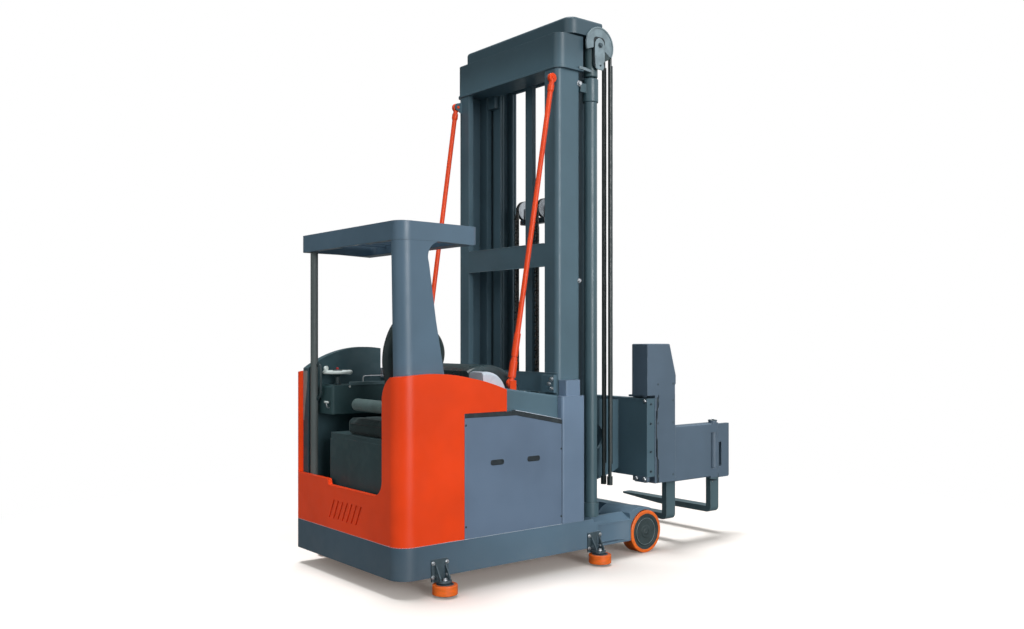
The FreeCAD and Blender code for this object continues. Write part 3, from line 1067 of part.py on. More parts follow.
def fork_carriage():
    """Swivelling fork carriage: pin and drum between the knuckles, carrying the fork frame."""
    z_low = ARM_Z0 + KNUCKLE
    z_high = ARM_Z1 - KNUCKLE
    drum = rod(V(PIVOT_X, PIVOT_Y, z_low + FIT), Z_AXIS, DRUM_R, z_high - z_low - 2 * FIT)
    pin = rod(V(PIVOT_X, PIVOT_Y, ARM_Z0 - 6), Z_AXIS, PIVOT_R, ARM_Z1 - ARM_Z0 + 12)
    pin_cap = rod(V(PIVOT_X, PIVOT_Y, ARM_Z1 + FIT), Z_AXIS, PIVOT_R + 12, 16)
    back = FORK_BACK_Y
    rear = back - FORK_FRAME_THICK
    slot_x = HEAD_FRONT_X - FORK_PLATE
    x0 = POST_FRONT_X - 15
    bars = [block(x0, HEAD_FRONT_X, rear, back, z, z + 60) for z in (ARM_Z0, ARM_Z1 - 80)]
    posts = [block(x0, x0 + 40, rear, back, ARM_Z0 + 59, ARM_Z1 - 79),
             block(PIVOT_X - 50, slot_x, rear, back, ARM_Z0 + 59, ARM_Z1 - 79)]
    plate = block(slot_x - SINK, HEAD_FRONT_X, rear, back, ARM_Z0 - 25, ARM_Z1 - 50)
    plate = round_edges(plate, 16, lambda e: crosswise(e) and e.Vertexes[0].Point.x > HEAD_FRONT_X - 1)
    slot = block(slot_x, slot_x + 32, rear - 1, back + 1, ARM_Z0 + 60, ARM_Z1 - 161)
    slot = round_edges(slot, 12, crosswise)
    web = block(PIVOT_X - 20, PIVOT_X + 20, PIVOT_Y, back - SINK, z_low + 6, z_high - 6)
    return drum.fuse([pin, pin_cap, web, plate.cut(slot)] + bars + posts).removeSplitter()


def fork(x):
    """One fork: shank with its hook, rounded heel and tapered blade pointing to the left."""
    y0 = FORK_BACK_Y
    y1 = y0 + FORK_THICK
    tip = y1 + FORK_LENGTH
    z_top = ARM_Z1 - 20
    heel = FORK_Z + FORK_THICK
    corner = 40 * (1 - math.sqrt(0.5))
    outline = [(y0 + 40, FORK_Z), ((y0 + corner, FORK_Z + corner), (y0, FORK_Z + 40)), (y0, z_top),
               (y1, z_top), (y1, heel), (tip, heel), (tip, heel - 12), (tip - 420, FORK_Z)]
    shape = cross_plate(outline, x - FORK_WIDTH / 2, x + FORK_WIDTH / 2)
    return round_edges(shape, 18, lambda e: upright(e) and e.Vertexes[0].Point.y > tip - 1)


# ---------------------------------------------------------------- all nodes
def main():
    os.makedirs("parts", exist_ok=True)
    save("chassis_frame", chassis_frame())
    right_left("mast_foot", mast_foot())
    brackets = [roller_bracket(x) for x in (ROLLER_REAR_X, ROLLER_FRONT_X)]
    save("roller_brackets", Part.makeCompound(brackets + [mirrored(b) for b in brackets]))
    for place, x in (("rear", ROLLER_REAR_X), ("front", ROLLER_FRONT_X)):
        save("guide_roller_" + place + "_right", guide_roller(x, -1))
        save("guide_roller_" + place + "_left", guide_roller(x, 1))
    right_left("load_tyre", load_tyre())
    right_left("load_hub", load_hub())
    save("load_axles", both_sides(load_axle()))
    save("drive_wheel", drive_wheel())
    save("drive_unit", drive_unit())
    save("rear_cowl", rear_cowl())
    right_left("side_cover", side_cover())
    save("battery", battery())
    save("deck", deck())
    save("hood_cover", hood_cover())
    save("hood_fairings", both_sides(hood_fairing()))
    save("overhead_guard", overhead_guard())
    save("guard_bars", guard_bars())
    save("guard_post", guard_post())
    save("cab_wall", cab_wall())
    save("cab_bulkhead", cab_bulkhead())
    save("console", console())
    save("steering_wheel", steering_wheel())
    save("seat_base", seat_base())
    save("seat_cushion", seat_cushion())
    save("seat_back", seat_back())
    save("armrest", armrest())
    save("cab_floor", cab_floor())
    save("outer_mast", outer_mast())
    save("middle_mast", middle_mast())
    save("inner_mast", inner_mast())
    save("lift_barrels", both_sides(lift_barrel()))
    save("lift_rods", both_sides(lift_rod()))
    save("mast_stays", both_sides(stay()))
    save("hose_sheave", hose_sheave())
    save("hose_runs", hose_runs())
    save("free_lift_barrel", free_lift_barrel())
    save("free_lift_head", free_lift_head())
    save("lift_chains", Part.makeCompound([lift_chain(y) for y in CHAIN_Y]))
    save("carriage", carriage())
    save("head_arm", head_arm())
    save("fork_carriage", fork_carriage())
    save("forks", Part.makeCompound([fork(x) for x in FORK_X]))


main()
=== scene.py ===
# %% [markdown]
# # A very narrow aisle forklift
# The truck is dressed here over its construction model: a cab with a sideways seat at the rear, a
# tall three-stage mast on two long load arms, and a head that slides sideways and swings its forks.
# The construction model gives every size and every joint, so it comes in first and stays as it is.
# At the end the dressed truck must still fill the same box.

# %% The frame and the libraries
import math

import bmesh
import bpy
import numpy as np
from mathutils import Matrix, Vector


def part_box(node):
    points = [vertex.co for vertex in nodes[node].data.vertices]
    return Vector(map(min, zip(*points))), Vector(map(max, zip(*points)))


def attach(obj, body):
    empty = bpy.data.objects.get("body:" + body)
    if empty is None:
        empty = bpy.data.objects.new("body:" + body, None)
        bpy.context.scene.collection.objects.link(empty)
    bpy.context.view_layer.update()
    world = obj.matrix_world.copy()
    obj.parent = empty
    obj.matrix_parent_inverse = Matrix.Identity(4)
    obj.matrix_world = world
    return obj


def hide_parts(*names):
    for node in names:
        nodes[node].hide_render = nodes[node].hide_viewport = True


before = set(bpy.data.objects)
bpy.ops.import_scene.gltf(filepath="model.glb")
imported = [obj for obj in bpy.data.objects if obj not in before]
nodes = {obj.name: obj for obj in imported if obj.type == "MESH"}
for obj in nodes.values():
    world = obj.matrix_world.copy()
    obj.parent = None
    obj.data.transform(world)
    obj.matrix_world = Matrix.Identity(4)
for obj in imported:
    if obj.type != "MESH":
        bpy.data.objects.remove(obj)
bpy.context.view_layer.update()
scene = bpy.context.scene
print("pieces from the model:", len(nodes))

# %% [markdown]
# Two things happen again and again: an object is put into the scene, and a node is added to a
# shader. Each has a short call. A node's inputs are given by name or number, and each is either
# linked to another node's output or set to a plain value.

# %% Objects and nodes
def shown(name, data):
    """A new object with that data, put into the scene."""
    thing = bpy.data.objects.new(name, data)
    scene.collection.objects.link(thing)
    return thing


def node(tree, kind, inputs=(), **settings):
    """A new shader node: first its settings, then its inputs, linked or set."""
    made = tree.nodes.new("ShaderNode" + kind)
    for key, value in settings.items():
        setattr(made, key, value)
    for place, value in dict(inputs).items():
        if isinstance(value, bpy.types.NodeSocket):
            tree.links.new(value, made.inputs[place])
        else:
            made.inputs[place].default_value = value
    return made


print("calls for objects and nodes are ready")

# %% [markdown]
# ## Camera
# The truck is seen from behind its right-hand corner, from a metre and a half up. A level
# camera keeps the mast's edges upright, as a catalogue view does. The lens is moved up a little
# instead of tilting it, so that the mast's crown and the wheels both fit.

# %% Camera
CAMERA_PLACE = (-4.5495, -5.3752, 1.5227)
CAMERA_TURN = -38.92
LENS_RISE = 0.0215

camera_data = bpy.data.cameras.new("studio_camera")
camera_data.sensor_width = 36.0
camera_data.lens = 34.11
camera_data.shift_y = LENS_RISE
camera = shown("studio_camera", camera_data)
camera.location = CAMERA_PLACE
camera.rotation_euler = (math.radians(90), 0, math.radians(CAMERA_TURN))
scene.camera = camera
print("camera stands", round(camera.location.length, 2), "m from the middle of the truck")

# %% [markdown]
# ## Studio light
# Three very soft suns and an even sky light the truck. The flank sun comes low from the right-hand
# side of the truck, the top sun comes from above, and a weak one reaches the tail, so the flank is
# brighter than the tail. The wide angle of each sun blurs every shadow. What shines mirrors a pale
# wall on the truck's right and a dark studio behind its left rear corner, and the backdrop is white.

# %% Light
SUNS = {"flank_sun": ((0.08, 0.85, -0.15), 2.2, 30),
        "tail_sun": ((0.92, 0.10, -0.45), 0.58, 50),
        "top_sun": ((0.0, -0.14, -1.0), 2.4, 20)}
WHITE = (1, 1, 1, 1)
SKY, SKY_STRENGTH = (0.92, 1.0, 0.98, 1), 0.26
DARK_STUDIO, PALE_WALL = (0.10, 0.13, 0.13, 1), (1.05, 1.08, 1.12, 1)
TOWARDS_WALL = (0.6, -0.8, 0.15)

for name, (towards, strength, spread) in SUNS.items():
    lamp = bpy.data.lights.new(name, "SUN")
    lamp.energy = strength
    lamp.angle = math.radians(spread)
    shown(name, lamp).rotation_euler = Vector(towards).to_track_quat("-Z", "Y").to_euler()

world = bpy.data.worlds.new("studio")
scene.world = world
world.use_nodes = True
tree = world.node_tree
tree.nodes.clear()
ray = node(tree, "LightPath").outputs
way = node(tree, "TexCoord").outputs["Generated"]
lean = node(tree, "VectorMath", {0: way, 1: TOWARDS_WALL}, operation="DOT_PRODUCT").outputs["Value"]
wall = node(tree, "MapRange", {"Value": lean, "From Min": -0.35, "From Max": 0.85},
            interpolation_type="SMOOTHSTEP").outputs["Result"]
mirrored = node(tree, "Mix", {"Factor": wall, 6: DARK_STUDIO, 7: PALE_WALL}, data_type="RGBA").outputs[2]
skies = [node(tree, "Background", {"Color": colour, "Strength": strength}).outputs[0]
         for colour, strength in ((SKY, SKY_STRENGTH), (mirrored, 1.0), (WHITE, 1.0))]
through = {0: ray["Is Camera Ray"], 1: ray["Is Transmission Ray"]}
seen = node(tree, "Math", through, operation="MAXIMUM").outputs[0]
shining = node(tree, "MixShader", {"Fac": ray["Is Glossy Ray"], 1: skies[0], 2: skies[1]}).outputs[0]
either = node(tree, "MixShader", {"Fac": seen, 1: shining, 2: skies[2]}).outputs[0]
node(tree, "OutputWorld", {"Surface": either})
scene.view_settings.view_transform = "Standard"
print("lights:", list(SUNS))

# %% [markdown]
# ## How a finish is made
# Real paint, rubber and steel are never one flat colour: the colour drifts over a panel, the gloss
# changes where hands and rags have been, the surface has a fine skin, and edges wear lighter. Each
# finish below mixes these with noise on the piece's own coordinates, so it stays in place when the
# piece moves. A small workbench class keeps the node calls short.

# %% The workbench for finishes
def shade(red, green, blue):
    """Linear colour of a colour written 0 to 255, by the usual power curve of a screen."""
    parts = np.array([red, green, blue], float) / 255
    linear = np.where(parts <= 0.04045, parts / 12.92, ((parts + 0.055) / 1.055) ** 2.4)
    return (*[float(v) for v in linear], 1.0)


class Finish:
    """One material: a principled shader, and short calls that wire grain, wear and relief to it."""
    made = []

    def __init__(self, name, colour, roughness, metallic=0.0):
        self.material = bpy.data.materials.new(name)
        self.material.use_nodes = True
        self.material.diffuse_color = colour
        self.tree = self.material.node_tree
        self.shader = self.tree.nodes["Principled BSDF"]
        self.colour = colour
        self.uniform({"Base Color": colour, "Roughness": roughness, "Metallic": metallic})
        self.where = self.new("TexCoord", out="Object")
        self.normal = None
        self.made.append(name)

    def uniform(self, values):
        """Numbers and colours that are the same all over, set on the shader's own sockets."""
        for socket, value in values.items():
            self.shader.inputs[socket].default_value = value

    def new(self, kind, inputs=(), out=0, **settings):
        """A new node's output, by number or name."""
        return node(self.tree, kind, inputs, **settings).outputs[out]

    def link(self, value, socket):
        """Joins a node's output to one of the shader's sockets."""
        self.tree.links.new(value, self.shader.inputs[socket])

    def placed(self, stretch=(1, 1, 1), turn=(0, 0, 0)):
        """Object coordinates, stretched and turned."""
        return self.new("Mapping", {"Vector": self.where, "Scale": stretch, "Rotation": turn})

    def grain(self, per_metre, detail=3.0, stretch=(1, 1, 1), rough=0.55):
        """Fractal noise with so many lumps to a metre, from 0 to 1."""
        return self.new("TexNoise", {"Vector": self.placed(stretch), "Scale": per_metre,
                                     "Detail": detail, "Roughness": rough}, "Fac")

    def cells(self, per_metre, feature="F1"):
        """Distance to the nearest of scattered points, as in pebbled leather or cast skin."""
        inputs = {"Vector": self.placed(), "Scale": per_metre}
        return self.new("TexVoronoi", inputs, "Distance", feature=feature)

    def waves(self, per_metre, axis, turn=(0, 0, 0)):
        """Straight sine ridges across one axis, so many to a metre."""
        return self.new("TexWave", {"Vector": self.placed(turn=turn), "Scale": per_metre * math.pi / 10},
                        "Fac", bands_direction=axis)

    def span(self, value, low, high, to_low=0.0, to_high=1.0):
        """Smooth step from low to high, given out between two other numbers."""
        return self.new("MapRange", {"Value": value, "From Min": low, "From Max": high, "To Min": to_low,
                                     "To Max": to_high}, "Result", interpolation_type="SMOOTHSTEP")

    def patches(self, per_metre, detail, low, high, to_low=0.0, to_high=1.0):
        """Patches of noise with soft borders, given out between two other numbers."""
        return self.span(self.grain(per_metre, detail), low, high, to_low, to_high)

    def sum(self, kind, a, b):
        """A sum of two numbers by kind: ADD, MULTIPLY, MAXIMUM or SUBTRACT."""
        return self.new("Math", {0: a, 1: b}, operation=kind)

    def tint(self, amount, before, after):
        """Goes from one colour to another by amount."""
        return self.new("Mix", {"Factor": amount, 6: before, 7: after}, 2, data_type="RGBA")

    def times(self, factor):
        """The finish's own colour, darker or lighter."""
        return (*[min(1.0, c * factor) for c in self.colour[:3]], 1.0)

    def drift(self, per_metre, detail, factor, other, low=0.3, high=0.7, stretch=(1, 1, 1)):
        """The finish's own colour, drifting between one factor of it and another."""
        lumps = self.span(self.grain(per_metre, detail, stretch), low, high)
        return self.tint(lumps, self.times(factor), self.times(other))

    def faded(self, towards, share):
        """The finish's own colour, part of the way towards an even grey."""
        return (*[c + (towards - c) * share for c in self.colour[:3]], 1.0)

    def height(self, axis="Z"):
        """One of the object coordinates as a number."""
        return self.new("SeparateXYZ", {0: self.where}, axis)

    def edge_mask(self, radius_mm, low=0.004, high=0.12):
        """1 along the piece's edges and 0 on its flats: how far a rounded normal leaves the true one."""
        self.normal = self.new("Bevel", {"Radius": radius_mm / 1000}, samples=4)
        true = self.new("NewGeometry", out="Normal")
        dot = self.new("VectorMath", {0: self.normal, 1: true}, "Value", operation="DOT_PRODUCT")
        return self.span(self.sum("SUBTRACT", 1.0, dot), low, high)

    def relief(self, height, depth_mm, strength=1.0):
        """Adds a bump of that depth on top of what is there."""
        inputs = {"Distance": depth_mm / 1000, "Strength": strength, "Height": height}
        if self.normal is not None:
            inputs["Normal"] = self.normal
        self.normal = self.new("Bump", inputs, "Normal")

    def done(self, colour, roughness=None):
        """Joins what was made to the shader and gives back the material."""
        self.link(colour, "Base Color")
        if roughness is not None:
            self.link(roughness, "Roughness")
        if self.normal is not None:
            self.link(self.normal, "Normal")
        return self.material


print("workbench ready")

# %% [markdown]
# ## Sprayed paint
# The truck's steel is sprayed: a slate grey on the frame, mast and head, and an orange on the cowl.
# Spray leaves a faint orange-peel skin. Panels drift a little in colour, their gloss is blotchy at
# hand size, a film of dust lies low down, and the edges are painted paler: partly rubbed wear, partly
# a painted highlight where they catch the light. The skirt's rear and the mast's crown are painted
# darker, a painted shade where they lie in shadow.

# %% Sprayed paint
DUST = shade(150, 140, 126)
DUST_TOP, DUST_FLOOR = 0.32, 0.02
# Painted shade, given as an axis, where it starts, where it is full and how dark: the skirt darkens towards
# its rear face and the mast towards its crown, where they lie in shadow.
SKIRT_PAINTED_SHADE = ("X", -0.55, -1.52, 0.62)
CROWN_PAINTED_SHADE = ("Z", 3.30, 3.52, 0.50)


def sprayed_paint(name, colour, gloss=0.36, peel_mm=0.05, edge=0.30, shine=0.45, speck=1.25, painted_shade=None):
    """Colour = panel drift, speckle, pale edges broken up by noise (rubbed wear and painted highlight), a
    painted shade that darkens along one axis from a first place to a last one, then dust towards the floor."""
    paint = Finish(name, colour, gloss)
    drift = paint.drift(1.7, 3.0, 0.90, 1.07, 0.32, 0.68)
    speckle = paint.tint(paint.patches(620, 1.0, 0.55, 0.85, 0.0, 0.25), drift, paint.times(speck))
    broken = paint.patches(38, 4.0, 0.30, 0.62, 0.25, 1.0)
    # Edges painted paler: partly rubbed wear, partly a painted highlight where they catch the light.
    rubbed_and_lit = paint.sum("MULTIPLY", paint.edge_mask(3.5), broken)
    edged = paint.tint(paint.sum("MULTIPLY", rubbed_and_lit, edge), speckle, paint.faded(0.80, 0.45))
    if painted_shade:
        axis, first, last, amount = painted_shade
        # A painted shade: the colour darkens along one axis, as the shadow on that part does.
        painted_shade_amount = paint.span(paint.height(axis), first, last, 0.0, amount)
        edged = paint.tint(painted_shade_amount, edged, paint.times(0.30))
    low = paint.span(paint.height(), DUST_TOP, DUST_FLOOR, 0.0, 0.12)
    dust = paint.sum("MULTIPLY", low, paint.patches(7, 5.0, 0.35, 0.75, 0.2, 1.0))
    blotch = paint.patches(11, 2.0, 0.30, 0.72, gloss - 0.04, gloss + 0.06)
    paint.relief(paint.grain(330, 1.5), peel_mm, 0.55)
    paint.relief(paint.grain(2.3, 2.0), 0.8, 0.10)
    paint.uniform({"Specular IOR Level": shine})
    return paint.done(paint.tint(dust, edged, DUST), blotch)


frame_slate = sprayed_paint("frame_slate", shade(94, 119, 138), 0.38, painted_shade=SKIRT_PAINTED_SHADE)
cover_slate = sprayed_paint("cover_slate", shade(101, 120, 143), 0.36)
guard_slate = sprayed_paint("guard_slate", shade(87, 111, 130), 0.40)
mast_slate = sprayed_paint("mast_slate", shade(80, 106, 119), 0.42, edge=0.34, painted_shade=CROWN_PAINTED_SHADE)
head_slate = sprayed_paint("head_slate", shade(88, 106, 123), 0.40, edge=0.36)
# The mast feet get their own lighter copy of the slate: a painted reflection that brightens their sides.
foot_slate_lit = sprayed_paint("foot_slate_lit", shade(111, 132, 156), 0.36)
cylinder_slate = sprayed_paint("cylinder_slate", shade(72, 97, 106), 0.36)
fork_slate = sprayed_paint("fork_slate", shade(75, 98, 106), 0.40, edge=0.5)
cowl_orange = sprayed_paint("cowl_orange", shade(246, 71, 20), 0.34, 0.035, 0.20, shine=0.30, speck=1.08)
stay_orange = sprayed_paint("stay_orange", shade(238, 74, 26), 0.34, 0.04, 0.24, shine=0.25)
post_grey = sprayed_paint("post_grey", shade(94, 102, 102), 0.42, shine=0.2)
motor_black = sprayed_paint("motor_black", shade(38, 41, 43), 0.48)
battery_black = sprayed_paint("battery_black", shade(34, 36, 38), 0.50)
print("finishes so far:", len(Finish.made))

# %% [markdown]
# ## Bare and oiled metal
# Axles, rods and bolts are ground or zinc-plated steel: grey, with fine lines along the way the
# tool ran, and duller where grease has caught dust. The chains are oiled, so they are darker and
# their gloss changes from link to link. The hose sheave is cast, with a pebbled skin.

# %% Metals
ALONG_Z = (1, 1, 0.03)
EVEN = (1, 1, 1)


def ground_steel(name, colour, lines=EVEN, roughness=0.30):
    """Metal whose gloss and relief run in lines: noise drawn out along one axis."""
    steel = Finish(name, colour, roughness, 1.0)
    run = steel.grain(160, 3.0, lines)
    body = steel.drift(14, 4.0, 1.05, 0.72, 0.35, 0.75)
    body = steel.tint(steel.sum("MULTIPLY", steel.edge_mask(1.2), 0.5), body, steel.times(1.35))
    steel.relief(run, 0.05, 0.5)
    return steel.done(body, steel.span(run, 0.25, 0.75, roughness - 0.09, roughness + 0.14))


def oiled_steel(name, colour):
    """Dark metal with wet and dry patches, so that neighbouring links differ."""
    steel = Finish(name, colour, 0.38, 0.85)
    wet = steel.patches(55, 3.0, 0.35, 0.65)
    body = steel.tint(wet, steel.times(1.5), steel.times(0.6))
    rust = steel.patches(90, 5.0, 0.62, 0.80, 0.0, 0.35)
    body = steel.tint(rust, body, shade(92, 66, 48))
    steel.edge_mask(0.8)
    steel.relief(steel.grain(420, 2.0), 0.06, 0.6)
    return steel.done(body, steel.span(wet, 0.0, 1.0, 0.52, 0.22))


def cast_metal(name, colour, roughness=0.45, metallic=0.75):
    """Sand-cast skin: pebbles from scattered points over broader waviness, smoother on rubbed edges."""
    cast = Finish(name, colour, roughness, metallic)
    drift = cast.drift(16, 4.0, 0.78, 1.12)
    rim = cast.edge_mask(2.0)
    cast.relief(cast.cells(520), 0.18, 0.5)
    cast.relief(cast.grain(60, 3.0), 0.4, 0.35)
    body = cast.tint(cast.sum("MULTIPLY", rim, 0.6), drift, cast.times(1.35))
    return cast.done(body, cast.patches(40, 3.0, 0.3, 0.7, roughness - 0.08, roughness + 0.12))


zinc_steel = ground_steel("zinc_steel", shade(196, 199, 202), EVEN, 0.34)
ground_bright = ground_steel("ground_bright", shade(176, 180, 184), (1, 1, 0.04), 0.24)
groove_grey = ground_steel("groove_grey", shade(136, 150, 152), EVEN, 0.45)
chain_steel = oiled_steel("chain_steel", shade(92, 92, 90))
sheave_cast = cast_metal("sheave_cast", shade(58, 76, 78), 0.40, 0.1)
hub_iron = cast_metal("hub_iron", shade(46, 60, 62), 0.50, 0.0)
bracket_iron = cast_metal("bracket_iron", shade(70, 86, 94), 0.42, 0.1)
cast_grey = cast_metal("cast_grey", shade(134, 152, 160), 0.52, 0.0)
cast_pale = cast_metal("cast_pale", shade(142, 160, 168), 0.50, 0.0)
print("finishes so far:", len(Finish.made))

# %% [markdown]
# The two lift rods are one piece with the sleeves over their upper ends, so their finish changes
# with height: chrome below, dark paint on the sleeves.

# %% Rods and sleeves
SLEEVE_Z = 3.270
SLEEVE_DARK = shade(62, 86, 92)


def rod_finish():
    """Chrome up to a height and dark paint above it; the paint has no metal and is duller."""
    rod = Finish("rod_and_sleeve", shade(206, 208, 210), 0.16, 1.0)
    above = rod.span(rod.height(), SLEEVE_Z, SLEEVE_Z + 0.006)
    lines = rod.grain(160, 3.0, ALONG_Z)
    body = rod.tint(above, rod.drift(14, 4.0, 1.05, 0.78, 0.35, 0.75), SLEEVE_DARK)
    rod.edge_mask(1.5)
    rod.relief(lines, 0.04, 0.4)
    rod.link(rod.sum("SUBTRACT", 1.0, above), "Metallic")
    matt = rod.sum("MULTIPLY", above, 0.24)
    return rod.done(body, rod.sum("ADD", rod.span(lines, 0.25, 0.75, 0.12, 0.24), matt))


rod_and_sleeve = rod_finish()
print("finishes so far:", len(Finish.made))

# %% [markdown]
# ## Rubber, plastic and polyurethane
# The wheels have cast polyurethane treads: an even orange, slightly clear, with a matt rolling band
# and dirt pressed into it; their edges are tinted paler as a painted highlight. Seals, hoses and mats
# are black rubber, dull with a bloom. The cab's mouldings are dark plastic with a fine leather-like
# grain that polishes smooth on the edges, and the edges are painted paler, partly as wear and partly
# as a painted highlight.

# %% Rubber and plastic
def moulded_plastic(name, colour, grain_mm=0.10, roughness=0.55, per_metre=650):
    """Pebbled moulding grain over slow drift; edges and handled patches are smoother, and the edges are
    painted paler, partly as wear and partly as a painted highlight.
    """
    plastic = Finish(name, colour, roughness)
    drift = plastic.drift(3.0, 3.0, 0.86, 1.14)
    handled = plastic.patches(9, 3.0, 0.40, 0.70)
    # Edges painted paler: partly rubbed wear, partly a painted highlight where they catch the light.
    rubbed_and_lit = plastic.sum("MULTIPLY", plastic.edge_mask(2.5), 0.35)
    body = plastic.tint(rubbed_and_lit, drift, plastic.faded(0.5, 0.25))
    plastic.relief(plastic.cells(per_metre), grain_mm, 0.6)
    plastic.relief(plastic.grain(per_metre * 2, 1.0), grain_mm * 0.4, 0.4)
    return plastic.done(body, plastic.span(handled, 0.0, 1.0, roughness + 0.08, roughness - 0.10))


def black_rubber(name, colour, roughness=0.62):
    """Rubber with a pale bloom in patches and a faint drawn grain."""
    rubber = Finish(name, colour, roughness)
    bloom = rubber.patches(22, 4.0, 0.42, 0.80, 0.0, 0.35)
    body = rubber.tint(bloom, colour, shade(60, 70, 74))
    rubber.edge_mask(1.0)
    rubber.relief(rubber.grain(900, 2.0), 0.05, 0.5)
    return rubber.done(body, rubber.patches(30, 3.0, 0.3, 0.7, roughness - 0.1, roughness + 0.1))


def cast_polyurethane(name, colour):
    """Orange tread: faint flow lines, ground-in dust, and light that enters the skin a little."""
    tread = Finish(name, colour, 0.42)
    flow = tread.drift(18, 4.0, 0.88, 1.10, stretch=(1, 1, 3))
    dust = tread.patches(130, 5.0, 0.55, 0.78, 0.0, 0.30)
    body = tread.tint(dust, flow, shade(150, 110, 84))
    # The tread's edges are tinted pale orange: a painted highlight where they catch the light.
    body = tread.tint(tread.sum("MULTIPLY", tread.edge_mask(3.0), 0.45), body, shade(246, 170, 110))
    tread.relief(tread.grain(240, 3.0), 0.10, 0.5)
    tread.uniform({"Subsurface Weight": 0.08, "Subsurface Scale": 0.4,
                   "Subsurface Radius": (0.012, 0.005, 0.002)})
    return tread.done(body, tread.span(dust, 0.0, 0.3, 0.36, 0.60))


def braided(name, colour):
    """Woven sleeve: two sets of slanting threads over a dark hose, duller in patches."""
    braid = Finish(name, colour, 0.55)
    weave = braid.sum("MULTIPLY", *[braid.waves(260, "Z", turn=(lean, 0, 0)) for lean in (0.7, -0.7)])
    body = braid.tint(braid.span(weave, 0.1, 0.8), braid.times(0.6), braid.times(1.6))
    braid.relief(weave, 0.4, 0.7)
    return braid.done(body, braid.patches(30, 3.0, 0.3, 0.7, 0.45, 0.65))


cab_plastic = moulded_plastic("cab_plastic", shade(40, 68, 72))
lining_plastic = moulded_plastic("lining_plastic", shade(48, 76, 84), 0.12, 0.60, 420)
panel_plastic = moulded_plastic("panel_plastic", shade(44, 66, 70), 0.10, 0.52)
hood_plastic = moulded_plastic("hood_plastic", shade(36, 54, 58), 0.06, 0.36, 900)
grip_plastic = moulded_plastic("grip_plastic", shade(176, 184, 184), 0.06, 0.46, 900)
pale_grip = moulded_plastic("pale_grip", shade(214, 224, 222), 0.04, 0.40, 1000)
trim_grey = moulded_plastic("trim_grey", shade(88, 112, 118), 0.05, 0.46, 800)
end_painted_light_grey = moulded_plastic("end_painted_light_grey", shade(126, 130, 128), 0.05, 0.5)
fairing_silver = moulded_plastic("fairing_silver", shade(190, 200, 212), 0.03, 0.30, 1200)
knob_red = moulded_plastic("knob_red", shade(186, 34, 28), 0.03, 0.34, 1400)
knob_white = moulded_plastic("knob_white", shade(206, 214, 212), 0.03, 0.34, 1400)
gauge_glass = moulded_plastic("gauge_glass", shade(20, 34, 38), 0.01, 0.12, 1600)
floor_rubber = black_rubber("floor_rubber", shade(30, 36, 37))
seal_rubber = black_rubber("seal_rubber", shade(14, 28, 34), 0.50)
hose_rubber = black_rubber("hose_rubber", shade(30, 42, 42), 0.40)
drive_rubber = black_rubber("drive_rubber", shade(36, 37, 38), 0.66)
hose_braid = braided("hose_braid", shade(44, 58, 60))
tread_orange = cast_polyurethane("tread_orange", shade(246, 112, 34))
print("finishes so far:", len(Finish.made))

# %% [markdown]
# ## Cloth, vinyl and lamps
# The seat is covered in a dark woven cloth: two sets of threads cross at right angles, so two sine
# ridges are multiplied, and a sheen lightens it at a slant. The armrest is grey vinyl with a
# leather grain. The cab lamp has a ribbed lens over a bright base.

# %% Cloth, vinyl and lens
def woven_cloth(name, colour, threads=420):
    """Height = the product of two sine ridges at right angles; colour follows the height and drifts."""
    cloth = Finish(name, colour, 0.86)
    warp = cloth.waves(threads, "X", turn=(0.0, 0.0, 0.785))
    weft = cloth.waves(threads, "Z", turn=(0.0, 0.5, 0.785))
    weave = cloth.sum("MULTIPLY", warp, weft)
    drift = cloth.drift(6, 4.0, 0.80, 1.25)
    body = cloth.tint(cloth.span(weave, 0.1, 0.8, 0.0, 0.5), drift, cloth.times(1.9))
    lint = cloth.patches(260, 5.0, 0.70, 0.84, 0.0, 0.20)
    body = cloth.tint(lint, body, shade(70, 92, 92))
    cloth.relief(weave, 0.35, 0.6)
    cloth.relief(cloth.grain(70, 3.0), 0.6, 0.25)
    cloth.uniform({"Sheen Weight": 0.08, "Sheen Roughness": 0.5})
    return cloth.done(body)


def grained_vinyl(name, colour):
    """Leather grain from the borders between scattered cells, with fine pores, over slow drift."""
    vinyl = Finish(name, colour, 0.50)
    grain = vinyl.cells(330, feature="DISTANCE_TO_EDGE")
    drift = vinyl.drift(9, 4.0, 0.84, 1.10)
    body = vinyl.tint(vinyl.span(grain, 0.02, 0.14, 0.35, 0.0), drift, vinyl.times(0.5))
    vinyl.relief(vinyl.span(grain, 0.0, 0.2), 0.25, 0.6)
    vinyl.relief(vinyl.grain(40, 3.0), 0.8, 0.25)
    return vinyl.done(body, vinyl.patches(20, 3.0, 0.3, 0.7, 0.42, 0.60))


def ribbed_lens(name, colour, glow=0.12):
    """Clear plastic over a bright reflector: upright ribs, and a coat that shines."""
    lens = Finish(name, colour, 0.16)
    ribs = lens.waves(260, "Y")
    body = lens.tint(lens.span(ribs, 0.1, 0.9, 0.0, 0.6), colour, lens.times(0.55))
    lens.relief(ribs, 0.5, 0.7)
    lens.uniform({"Coat Weight": 0.8, "Emission Color": colour, "Emission Strength": glow})
    return lens.done(body, lens.patches(50, 2.0, 0.3, 0.7, 0.10, 0.24))


seat_cloth = woven_cloth("seat_cloth", shade(20, 40, 42))
seat_edge = grained_vinyl("seat_edge", shade(40, 48, 50))
armrest_vinyl = grained_vinyl("armrest_vinyl", shade(92, 112, 112))
clear_lens = ribbed_lens("clear_lens", shade(206, 214, 216))
print("finishes in all:", len(Finish.made))

# %% [markdown]
# ## Putting the finishes on the model
# Every piece of the model gets the finish of its real counterpart. Only the material slot changes;
# the mesh stays as the construction model made it.

